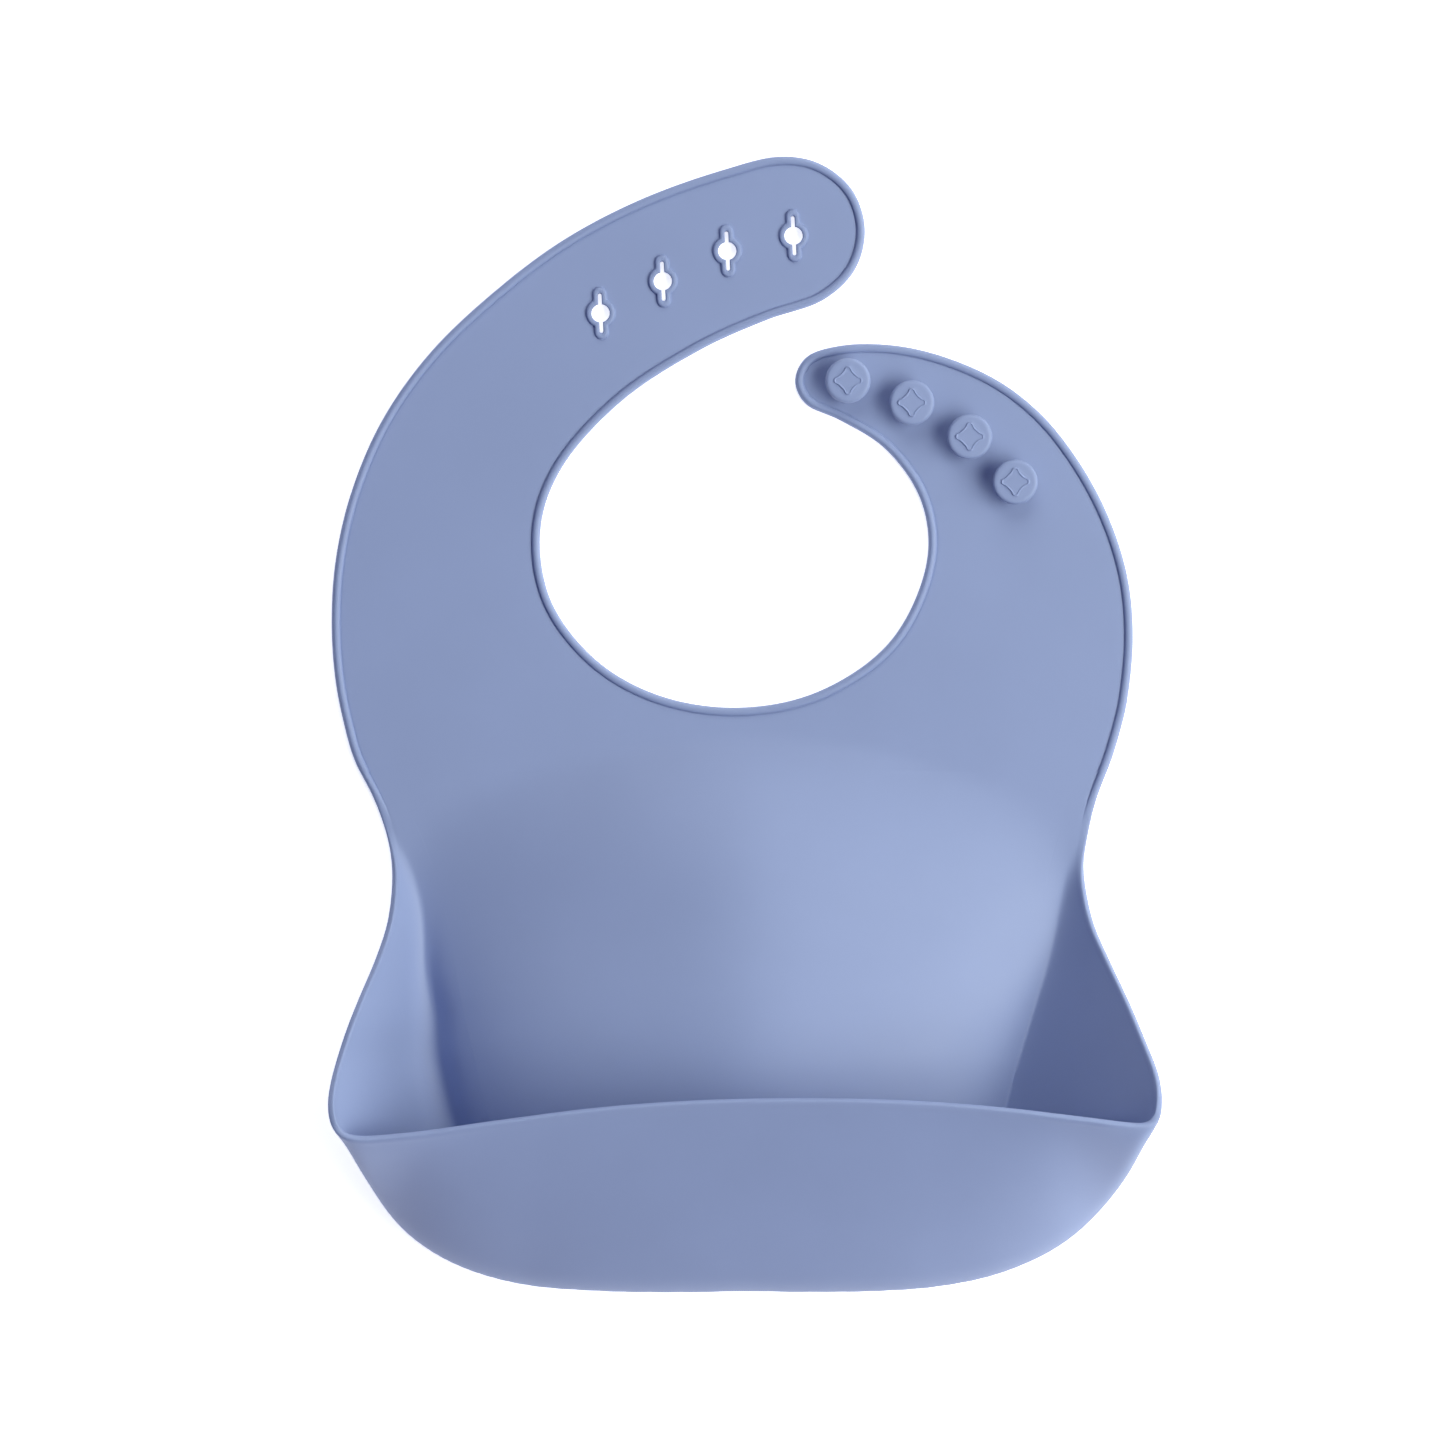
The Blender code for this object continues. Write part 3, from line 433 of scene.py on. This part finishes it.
def triangulate(loop, holes, pitch):
    """(points, triangles, boundary index lists) of a plan region."""
    inner = fill_points(loop, holes, pitch)
    pts = [tuple(p) for p in loop]
    edges = [(i, (i + 1) % len(loop)) for i in range(len(loop))]
    bounds = [np.arange(len(loop))]
    for h in holes:
        k = len(pts)
        pts += [tuple(p) for p in h]
        edges += [(k + i, k + (i + 1) % len(h)) for i in range(len(h))]
        bounds.append(np.arange(k, k + len(h)))
    pts += [tuple(p) for p in inner]
    res = delaunay_2d_cdt([Vector(p) for p in pts], edges, [], 1, 1e-6)
    out = np.array([tuple(p) for p in res[0]])
    if len(out) != len(pts):
        raise RuntimeError(f"triangulation changed its points: {len(pts)} {len(out)}")
    remap = np.zeros(len(pts), int)
    for new, orig in enumerate(res[3]):
        for o in orig:
            remap[o] = new
    tris = np.array([f for f in res[2] if len(f) == 3])
    mid = out[tris].mean(axis=1)
    keep = inside(mid, np.array(loop))
    for h in holes:
        keep &= ~inside(mid, np.array(h))
    return out, tris[keep], [remap[b] for b in bounds]


# ---- flat regions: bead rings along the free edge, a fine triangulation inside -------
def edge_normals():
    t = np.roll(OUTER, -1, axis=0) - np.roll(OUTER, 1, axis=0)
    t /= np.linalg.norm(t, axis=1, keepdims=True)
    n = np.column_stack([-t[:, 1], t[:, 0]])
    area = np.sum(OUTER[:, 0] * np.roll(OUTER[:, 1], -1) - np.roll(OUTER[:, 0], -1) * OUTER[:, 1])
    return n if area > 0 else -n


OUTER_IN = edge_normals()


def ring_part(inset, start, end, count):
    """The outer edge moved in by inset, cut between two seams.  start and end are
    (y of the seam, a point near its crossing); count points, ends on the seams."""
    ring = OUTER + OUTER_IN * inset
    n = len(ring)

    def crossing(spec):
        y, near = spec
        i0 = nearest(OUTER, near)
        best = None
        for k in range(-60, 60):
            i, j = (i0 + k) % n, (i0 + k + 1) % n
            a, b = ring[i], ring[j]
            if (a[1] - y) * (b[1] - y) <= 0 and a[1] != b[1]:
                if best is None or abs(k) < abs(best[0]):
                    f = (y - a[1]) / (b[1] - a[1])
                    best = (k, i, f, a + (b - a) * f)
        return best

    s, e = crossing(start), crossing(end)
    i, j = s[1], e[1]
    if j < i:
        j += n
    body = ring[[(k % n) for k in range(i + 1, j + 1)]]
    line = np.vstack([s[3], body, e[3]])
    return at(line, np.linspace(0, 1, count))


def seam_points(a, b, pitch=1.6):
    """Points from a to b on a seam, without the ends; the same from either side."""
    lo, hi = (a, b) if a[0] < b[0] else (b, a)
    n = max(1, int(round(np.linalg.norm(hi - lo) / pitch)))
    t = np.linspace(0, 1, n + 1)[1:-1]
    pts = lo[None] + (hi - lo)[None] * t[:, None]
    return pts if a[0] < b[0] else pts[::-1]


def flat_piece(name, arcs, pitch=2.6, holes=(), step=1.0):
    """A region of the flat sheet.  arcs are the free edges as (start, end) seam
    crossings, in the outer edge's direction; straight seams join them in turn."""
    verts, faces = [], []
    insets = EDGE_D
    loops = []
    strips = []
    for start, end in arcs:
        rough = ring_part(0.0, start, end, 400)
        count = int(round(lengths(rough)[-1] / step)) + 1
        rings = [ring_part(d, start, end, count) for d in insets]
        strips.append(rings)
        loops.append(rings[-1])
    # the inner region's outline
    loop = []
    for k, part in enumerate(loops):
        nxt = loops[(k + 1) % len(loops)]
        loop.append(part)
        loop.append(seam_points(part[-1], nxt[0]))
    loop = np.vstack([p for p in loop if len(p)])
    pts, tris, bounds = triangulate(loop, list(holes), pitch)
    top_p, top_n = sheet_point(pts[:, 0], pts[:, 1])
    top = top_p + top_n * HALF
    low = top_p - top_n * HALF
    k = len(pts)
    verts += top.tolist() + low.tolist()
    faces += [tuple(t) for t in tris]
    faces += [tuple((t + k)[::-1]) for t in tris]
    # bead strips
    for rings in strips:
        base = len(verts)
        m, r = len(rings[0]), len(rings)
        for side in (0, 1):
            for d, ring in zip(insets, rings):
                p, n = sheet_point(ring[:, 0], ring[:, 1])
                up, down = edge_faces(np.array(d), 1.0)
                if d == insets[-1]:
                    up = down = HALF
                verts += (p + n * up if side == 0 else p - n * down).tolist()
        for side in (0, 1):
            o = base + side * m * r
            for a in range(r - 1):
                for b in range(m - 1):
                    q = (o + a * m + b, o + a * m + b + 1, o + (a + 1) * m + b + 1, o + (a + 1) * m + b)
                    faces.append(q if side == 0 else q[::-1])
        o2 = base + m * r
        for b in range(m - 1):
            faces.append((base + b, base + b + 1, o2 + b + 1, o2 + b))
        for b in (0, m - 1):  # the cut ends of the bead
            for a in range(r - 1):
                faces.append(
                    (base + a * m + b, base + (a + 1) * m + b, o2 + (a + 1) * m + b, o2 + a * m + b)
                )
    # walls of the inner region on the seams and round the holes
    first = bounds[0]
    pos = 0
    for kk, part in enumerate(loops):
        pos += len(part)
        nxt = loops[(kk + 1) % len(loops)]
        seam = len(seam_points(part[-1], nxt[0]))
        run = [(pos - 1 + i) % len(first) for i in range(seam + 2)]
        for a, b in zip(run[:-1], run[1:]):
            i, j = int(first[a]), int(first[b])
            faces.append((i, j, j + k, i + k))
        pos += seam
    for bd in bounds[1:]:
        for a in range(len(bd)):
            i, j = int(bd[a]), int(bd[(a + 1) % len(bd)])
            faces.append((i, j, j + k, i + k))
    return make_object(name, verts, faces)


# ---- keyholes ----------------------------------------------------------------------
KEY_TILT = math.radians(3.0)


def keyhole_outline(hole_d, arm_w, arm_l, arm_steps=10, disc_steps=16):
    r, w = hole_d / 2, arm_w / 2
    a0 = math.asin(w / r)
    pts = []
    for sign in (1, -1):
        c = arm_l / 2 - w
        for a in np.linspace(0, math.pi, arm_steps):
            pts.append((sign * w * math.cos(a), sign * (c + w * math.sin(a))))
        join = r * math.cos(a0)
        for f in (0.35, 0.7):
            pts.append((sign * -w, sign * (c + (join - c) * f)))
        for a in np.linspace(math.pi / 2 + a0, 3 * math.pi / 2 - a0, disc_steps):
            pts.append((sign * r * math.cos(a), sign * r * math.sin(a)))
        for f in (0.7, 0.35):
            pts.append((sign * -w, -sign * (c + (join - c) * f)))
    return np.array(pts)


def turned(points, where, angle=KEY_TILT):
    c, s = math.cos(angle), math.sin(angle)
    return points @ np.array([[c, s], [-s, c]]) + np.array(where)


def collar(name, where):
    """Raised rim round a keyhole and its slits, rounded over on top."""
    inner = keyhole_outline(HOLE_D, SLIT_W, SLIT_L)
    outer = keyhole_outline(COLLAR_D, COLLAR_ARM_W, COLLAR_L)
    rows = [
        (0.0, 1.2), (0.0, 2.32), (0.05, 2.44), (0.14, 2.53), (0.3, 2.58), (0.55, 2.59),
        (0.74, 2.54), (0.88, 2.42), (0.96, 2.24), (1.0, 2.05), (1.03, 1.86), (1.10, 1.79),
        (1.10, 1.55), (0.5, 1.2),
    ]
    m = len(inner)
    verts, faces = [], []
    for t, z in rows:
        ring = turned(inner + (outer - inner) * t, where)
        verts += [(x, y, z) for x, y in ring]
    r = len(rows)
    for a in range(r):
        for b in range(m):
            faces.append(
                (a * m + b, a * m + (b + 1) % m, ((a + 1) % r) * m + (b + 1) % m, ((a + 1) % r) * m + b)
            )
    return make_object(name, verts, faces, 50)


# ---- studs ---------------------------------------------------------------------------
STAR = [(0, 3.70), (5, 3.70), (9, 3.62), (12, 3.42), (15, 3.15), (20, 2.88), (28, 2.68), (36, 2.58), (45, 2.55)]


def star_radius(angle):
    """Four blunt tips on the axes, with shallow hollow sides between them."""
    off = np.degrees(angle) % 90.0
    off = np.minimum(off, 90.0 - off)
    return np.interp(off, [a for a, r in STAR], [r for a, r in STAR])


def stud(name, where):
    """Button head on a stem, with a raised star whose rim stands a little prouder."""
    steps = 144
    ang = np.linspace(0, 2 * math.pi, steps, endpoint=False)
    top = 7.56
    body = [
        (3.6, 1.5), (3.55, 1.86), (3.2, 1.98), (2.85, 2.2), (2.6, 2.6), (2.5, 3.2), (2.5, 4.4),
        (2.62, 4.75), (2.95, 4.98), (3.5, 5.08), (4.9, 5.12), (5.4, 5.22), (5.75, 5.5),
        (5.95, 5.9), (6.02, 6.35), (5.98, 6.8), (5.84, 7.15), (5.6, 7.38), (5.3, 7.5),
        (4.9, 7.55), (4.35, 7.56),
    ]
    verts, faces = [], []
    for r, z in body:
        verts += [(where[0] + r * math.cos(a), where[1] + r * math.sin(a), z) for a in ang]
    star = star_radius(ang)
    for grow, z in (
        (0.22, top), (0.12, top + 0.03), (0.05, top + 0.12), (0.0, top + 0.24),
        (-0.06, top + 0.32), (-0.16, top + 0.34), (-0.27, top + 0.31), (-0.35, top + 0.22),
        (-0.43, top + 0.16), (-0.6, top + 0.15),
    ):
        r = star + grow
        verts += [
            (where[0] + rr * math.cos(a), where[1] + rr * math.sin(a), z)
            for rr, a in zip(r, ang)
        ]
    for share in (0.6, 0.25):
        r = (star - 0.6) * share
        verts += [
            (where[0] + rr * math.cos(a), where[1] + rr * math.sin(a), top + 0.15)
            for rr, a in zip(r, ang)
        ]
    rows = len(verts) // steps
    for a in range(rows - 1):
        for b in range(steps):
            c = (b + 1) % steps
            faces.append((a * steps + b, a * steps + c, (a + 1) * steps + c, (a + 1) * steps + b))
    faces.append(tuple(range(steps)))
    last = (rows - 1) * steps
    faces.append(tuple(range(last, last + steps)))
    return make_object(name, verts, faces, 60)


# ---- the pocket's shell -----------------------------------------------------------------
def split_curve(curve, breaks):
    cuts = [0, *breaks, len(curve) - 1]
    return [curve[a : b + 1] for a, b in zip(cuts[:-1], cuts[1:])]


def shell_lines():
    inner = soften(spline(INNER, 0.4), 20)
    inner_breaks = [nearest(inner, INNER[i]) for i in INNER_BREAKS]
    outer = outer_part((96.9, SEAM_Y), (-103.6, SEAM_Y))[::-1]
    # ends exactly on the seam
    for end, other in ((0, 1), (-1, -2)):
        a, b = outer[end], outer[other]
        f = (SEAM_Y - b[1]) / (a[1] - b[1]) if a[1] != b[1] else 1.0
        outer[end] = b + (a - b) * f
    ol, ob, orr = nearest(outer, CORNER_L), nearest(outer, (0.0, -152.1)), nearest(outer, CORNER_R)
    counts = (88, 100, 100, 88)
    o = [at(c, np.linspace(0, 1, n)) for c, n in zip(split_curve(outer, (ol, ob, orr)), counts)]
    q = [at(c, np.linspace(0, 1, n)) for c, n in zip(split_curve(inner, inner_breaks), counts)]
    join = lambda parts: np.vstack([parts[0]] + [p[1:] for p in parts[1:]])
    o, q = join(o), join(q)
    n1, n2 = counts[0] - 1, counts[0] + counts[1] + counts[2] - 3
    lip_f = np.linspace(0, 1, n2 - n1 + 1)
    lip_f = lip_f - 0.02 * np.sin(2 * math.pi * lip_f)
    lip = at(LIP_CURVE, lip_f)
    return o, q, lip, n1, n2


def shell():
    o, q, lip, n1, n2 = shell_lines()
    nv = len(o)
    dense = 260
    lines, splits = [], []
    s_along = lengths(o)
    # height of the fold and of the lip along the shell
    z_low = floor_z(o[:, 0], o[:, 1])
    z_fold = z_low + RIDGE_HALF
    # the lip runs on from the rims of the side walls and stays nearly level
    u = np.linspace(-1, 1, n2 - n1 + 1)
    blend = step01((1 - np.abs(u)) / 0.16)
    end_z = np.where(u < 0, z_fold[n1], z_fold[n2])
    lip_z = end_z + (LIP_Z - end_z) * blend
    lip_z = np.maximum(lip_z, z_fold[n1 : n2 + 1] + 0.02)
    for j in range(nv):
        f = 1 - (1 - np.linspace(0, 1, dense)) ** 1.6
        plan = q[j][None] + (o[j] - q[j])[None] * f[:, None]
        z = floor_z(plan[:, 0], plan[:, 1])
        if j < n1:
            share = float(step01((s_along[j] - s_along[n1] + 9.0) / 9.0))
        elif j > n2:
            share = float(step01((s_along[n2] + 9.0 - s_along[j]) / 9.0))
        else:
            share = 1.0
        if share > 0:
            d, _ = ridge_info(plan[:, 0], plan[:, 1])
            if j < n1 or j > n2:
                d = np.linalg.norm(plan - o[j], axis=1)
            d[-1] = 0.0
            z = z + share * RIDGE_HALF * (1 - quarter(d / FOLD_IN))
        line = np.column_stack([plan, z])
        if n1 < j < n2:
            tip = lip[j - n1]
            length = np.linalg.norm(tip - o[j])
            g = np.linspace(0, 1, dense) ** 1.5
            p2 = o[j][None] + (tip - o[j])[None] * g[:, None]
            rise = lip_z[j - n1] - z_fold[j]
            turn = min(RIDGE_HALF * float(quarter(np.array(length / FOLD_IN))), 0.75 * rise)
            curl = quarter(g * length / FOLD_IN) / max(float(quarter(np.array(length / FOLD_IN))), 1e-6)
            z2 = z_fold[j] + turn * curl + (rise - turn) * g * (1 + 0.3 * (1 - g))
            line = np.vstack([line, np.column_stack([p2, z2])[1:]])
        lines.append(line)
    nu = 76
    near = EDGE_D
    grid = np.zeros((nv, nu, 3))
    edge_d = np.zeros((nv, nu))
    for j, line in enumerate(lines):
        s = lengths(line)
        total = s[-1]
        k = min(1.0, total / 7.0)
        dist = np.concatenate([near * k, np.linspace(near[-1] * k, total, nu - len(near) + 1)[1:]])
        pick = total - dist
        grid[j] = np.column_stack([np.interp(pick, s, line[:, c]) for c in range(3)])
        edge_d[j] = dist
    # even out the sampling noise along the shell, with its borders held
    for _ in range(4):
        grid[1:-1, :-1] = (grid[:-2, :-1] + 2 * grid[1:-1, :-1] + grid[2:, :-1]) / 4
    # normals; the strip beside the rim is too fine to differentiate, so it takes
    # the normal found a millimetre in
    du = np.gradient(grid, axis=1)
    dv = np.gradient(grid, axis=0)
    n = np.cross(du, dv)
    n /= np.maximum(np.linalg.norm(n, axis=2, keepdims=True), 1e-12)
    if n[5, -5, 2] < 0:
        n = -n
    n[:, :6] = n[:, 6:7]
    for _ in range(3):
        n[1:-1, :-1] = (n[:-2, :-1] + 2 * n[1:-1, :-1] + n[2:, :-1]) / 4
    n /= np.maximum(np.linalg.norm(n, axis=2, keepdims=True), 1e-12)
    p, ns = sheet_point(grid[:, -1, 0], grid[:, -1, 1])
    n[:, -1] = ns
    p, ns = sheet_point(grid[0, :, 0], grid[0, :, 1])
    n[0] = ns
    p, ns = sheet_point(grid[-1, :, 0], grid[-1, :, 1])
    n[-1] = ns
    bead = step01((grid[:, :1, 1] + 27.0) / 13.0) * np.ones((nv, nu))
    bead[n1 : n2 + 1] = 0.0
    up, down = edge_faces(edge_d, bead)
    # a slightly stouter lip
    lipness = np.zeros((nv, 1))
    lipness[n1 : n2 + 1, 0] = step01(np.minimum(np.arange(n2 - n1 + 1), np.arange(n2 - n1 + 1)[::-1]) / 12.0)
    swell = 0.06 * lipness * np.exp(-(((edge_d - 1.5) / 0.9) ** 2))
    up, down = up + swell, down + swell
    up[:, 0] = down[:, 0] = 0.0
    top = grid + n * up[..., None]
    low = grid - n * down[..., None]
    k = nv * nu
    idx = np.arange(k).reshape(nv, nu)
    a, b, c, d = idx[:-1, :-1], idx[1:, :-1], idx[1:, 1:], idx[:-1, 1:]
    quads = np.stack([a, b, c, d], axis=-1).reshape(-1, 4)
    faces = quads.tolist() + (quads[:, ::-1] + k).tolist()
    for j in range(nv - 1):
        x, y = idx[j, -1], idx[j + 1, -1]
        faces.append((x, y, y + k, x + k))
        x, y = idx[j, 0], idx[j + 1, 0]
        faces.append((y, x, x + k, y + k))
    for i in range(nu - 1):
        x, y = idx[0, i], idx[0, i + 1]
        faces.append((x, y, y + k, x + k))
        x, y = idx[-1, i], idx[-1, i + 1]
        faces.append((y, x, x + k, y + k))
    verts = np.vstack([top.reshape(-1, 3), low.reshape(-1, 3)])
    obj = make_object("pocket_shell", verts, faces, 60)
    return obj, q


def panel(q):
    """The plain panel inside the shell."""
    top_seam = seam_points(q[-1], q[0])
    loop = np.vstack([q, top_seam])
    pts, tris, bounds = triangulate(loop, [], 2.2)
    p, n = sheet_point(pts[:, 0], pts[:, 1])
    top, low = p + n * HALF, p - n * HALF
    k = len(pts)
    faces = [tuple(t) for t in tris] + [tuple((t + k)[::-1]) for t in tris]
    bd = bounds[0]
    for a in range(len(bd)):
        i, j = int(bd[a]), int(bd[(a + 1) % len(bd)])
        faces.append((i, j, j + k, i + k))
    return make_object("panel_skin", np.vstack([top, low]), faces)


# ---- build -----------------------------------------------------------------------------
L_LOW, L_NECK, L_HOLE = (-103.6, SEAM_Y), (-110.6, NECK_SEAM_Y), (-104.6, HOLE_SEAM_Y)
I_HOLE, I_NECK_L = (-50.4, HOLE_SEAM_Y), (-38.8, NECK_SEAM_Y)
I_NECK_R, I_STUD = (32.0, NECK_SEAM_Y), (48.6, STUD_SEAM_Y)
R_STUD, R_NECK, R_LOW = (98.8, STUD_SEAM_Y), (103.6, NECK_SEAM_Y), (96.9, SEAM_Y)


def at_seam(p):
    return (p[1], p)


key_holes = [turned(keyhole_outline(HOLE_D, SLIT_W, SLIT_L), k)[::1] for k in KEYS]
hole_end = flat_piece("hole_strap_end_skin", [(at_seam(L_HOLE), at_seam(I_HOLE))], holes=key_holes)
hole_mid = flat_piece(
    "hole_strap_shoulder_skin",
    [(at_seam(L_NECK), at_seam(L_HOLE)), (at_seam(I_HOLE), at_seam(I_NECK_L))],
)
stud_end = flat_piece("stud_strap_end_skin", [(at_seam(I_STUD), at_seam(R_STUD))])
stud_mid = flat_piece(
    "stud_strap_shoulder_skin",
    [(at_seam(I_NECK_R), at_seam(I_STUD)), (at_seam(R_STUD), at_seam(R_NECK))],
)
neck = flat_piece(
    "neck_skin",
    [
        (at_seam(L_LOW), at_seam(L_NECK)),
        (at_seam(I_NECK_L), at_seam(I_NECK_R)),
        (at_seam(R_NECK), at_seam(R_LOW)),
    ],
    pitch=2.0,
)
pocket, inner_line = shell()
flat_panel = panel(inner_line)
collars = [collar(f"keyhole_rim_{i}", k) for i, k in enumerate(KEYS, 1)]
studs = [stud(f"stud_{i}_skin", s) for i, s in enumerate(STUDS, 1)]


# ---- material ----------------------------------------------------------------------------
def silicone(name, seed):
    """Matte moulded silicone: faint mottling, a fine satin grain and soft sheen."""
    m = bpy.data.materials.new(name)
    m.use_nodes = True
    nt = m.node_tree
    p = nt.nodes["Principled BSDF"]
    geo = nt.nodes.new("ShaderNodeTexCoord")
    big = nt.nodes.new("ShaderNodeTexNoise")
    big.inputs["Scale"].default_value = 18.0
    big.inputs["Detail"].default_value = 3.0
    fine = nt.nodes.new("ShaderNodeTexNoise")
    fine.inputs["Scale"].default_value = 1400.0
    fine.inputs["Detail"].default_value = 2.0
    mid = nt.nodes.new("ShaderNodeTexNoise")
    mid.inputs["Scale"].default_value = 120.0
    mid.inputs["Detail"].default_value = 4.0
    for t in (big, fine, mid):
        nt.links.new(geo.outputs["Object"], t.inputs["Vector"])
    ramp = nt.nodes.new("ShaderNodeValToRGB")
    ramp.color_ramp.elements[0].position = 0.35
    ramp.color_ramp.elements[0].color = (0.254, 0.321, 0.556, 1)
    ramp.color_ramp.elements[1].position = 0.68
    ramp.color_ramp.elements[1].color = (0.267, 0.337, 0.584, 1)
    nt.links.new(big.outputs["Fac"], ramp.inputs["Fac"])
    nt.links.new(ramp.outputs["Color"], p.inputs["Base Color"])
    rough = nt.nodes.new("ShaderNodeMapRange")
    rough.inputs["To Min"].default_value = 0.50
    rough.inputs["To Max"].default_value = 0.62
    nt.links.new(mid.outputs["Fac"], rough.inputs["Value"])
    nt.links.new(rough.outputs["Result"], p.inputs["Roughness"])
    bump = nt.nodes.new("ShaderNodeBump")
    bump.inputs["Strength"].default_value = 0.10
    bump.inputs["Distance"].default_value = 0.00006
    nt.links.new(fine.outputs["Fac"], bump.inputs["Height"])
    nt.links.new(bump.outputs["Normal"], p.inputs["Normal"])
    p.inputs["Specular IOR Level"].default_value = 0.42
    p.inputs["Sheen Weight"].default_value = 0.06
    p.inputs["Sheen Roughness"].default_value = 0.5
    p.inputs["Sheen Tint"].default_value = (0.8, 0.87, 1.0, 1.0)
    return m


SKIN = silicone("silicone_skin", 0)
for obj in MADE:
    obj.data.materials.clear()
    obj.data.materials.append(SKIN)


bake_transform(hole_end)
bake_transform(hole_mid)
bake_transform(stud_end)
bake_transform(stud_mid)
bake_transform(neck)
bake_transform(pocket)
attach(flat_panel, "pocket_body")
for c in collars:
    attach(c, "hole_end")
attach(studs[0], "stud_end")
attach(studs[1], "stud_end")
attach(studs[2], "stud_shoulder")
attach(studs[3], "stud_shoulder")
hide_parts("hole_strap_tip")
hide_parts("hole_strap_base")
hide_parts("stud_strap_tip")
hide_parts("stud_strap_base")
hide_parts("yoke")
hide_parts("gusset_left", "gusset_right", "pocket_front")
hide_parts("lower_panel")
for i, c in enumerate(collars, 1):
    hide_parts(f"keyhole_collar_{i}")
for i, st in enumerate(studs, 1):
    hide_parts(f"stud_{i}")


# ---- floor, light and camera -------------------------------------------------------------------
def floor():
    bm = bmesh.new()
    bmesh.ops.create_grid(bm, x_segments=2, y_segments=2, size=3.0)
    mesh = bpy.data.meshes.new("floor")
    bm.to_mesh(mesh)
    bm.free()
    obj = bpy.data.objects.new("floor", mesh)
    obj.location = (0, 0, -0.00005)
    bpy.context.scene.collection.objects.link(obj)
    m = bpy.data.materials.new("floor")
    m.use_nodes = True
    p = m.node_tree.nodes["Principled BSDF"]
    p.inputs["Base Color"].default_value = (0.93, 0.93, 0.935, 1)
    p.inputs["Roughness"].default_value = 0.9
    p.inputs["Emission Color"].default_value = (1, 1, 1, 1)
    p.inputs["Emission Strength"].default_value = 0.76
    mesh.materials.append(m)


def area_light(name, place, aim, size, power, colour=(1, 1, 1)):
    data = bpy.data.lights.new(name, "AREA")
    data.shape = "RECTANGLE"
    data.size, data.size_y = size
    data.energy = power
    data.color = colour
    obj = bpy.data.objects.new(name, data)
    obj.location = place
    obj.rotation_euler = (Vector(aim) - Vector(place)).to_track_quat("-Z", "Y").to_euler()
    bpy.context.scene.collection.objects.link(obj)
    return obj


floor()


def soft_box(name, azimuth, elevation, distance, size, power):
    a, e = math.radians(azimuth), math.radians(elevation)
    aim = Vector((0, -0.02, 0.01))
    place = aim + distance * Vector((math.cos(a) * math.cos(e), math.sin(a) * math.cos(e), math.sin(e)))
    area_light(name, place, aim, (size, size), power, (1.0, 1.0, 0.85))


soft_box("key", 10, 38, 1.7, 0.93, 13.8)
soft_box("key_high", -10, 50, 1.7, 0.93, 11.0)
soft_box("key_low", -35, 38, 1.7, 0.93, 10.0)
soft_box("top", 90, 35, 1.7, 1.28, 13.4)
world_data = bpy.data.worlds.new("studio")
bpy.context.scene.world = world_data
world_data.use_nodes = True
bg = world_data.node_tree.nodes["Background"]
bg.inputs["Color"].default_value = (0.0, 0.06, 1.0, 1)
bg.inputs["Strength"].default_value = 0.12

cam = bpy.data.cameras.new("camera")
cam.sensor_width = 36.0
DIST = 2.4
cam.lens = 36.0 * DIST / 0.388
cam_obj = bpy.data.objects.new("camera", cam)
bpy.context.scene.collection.objects.link(cam_obj)
cam_obj.location = ((-6.18 + SHIFT[0]) * MM, (0.27 + SHIFT[1]) * MM, DIST)
cam_obj.rotation_euler = (0, 0, 0)
bpy.context.scene.camera = cam_obj
bpy.context.scene.view_settings.view_transform = "Standard"
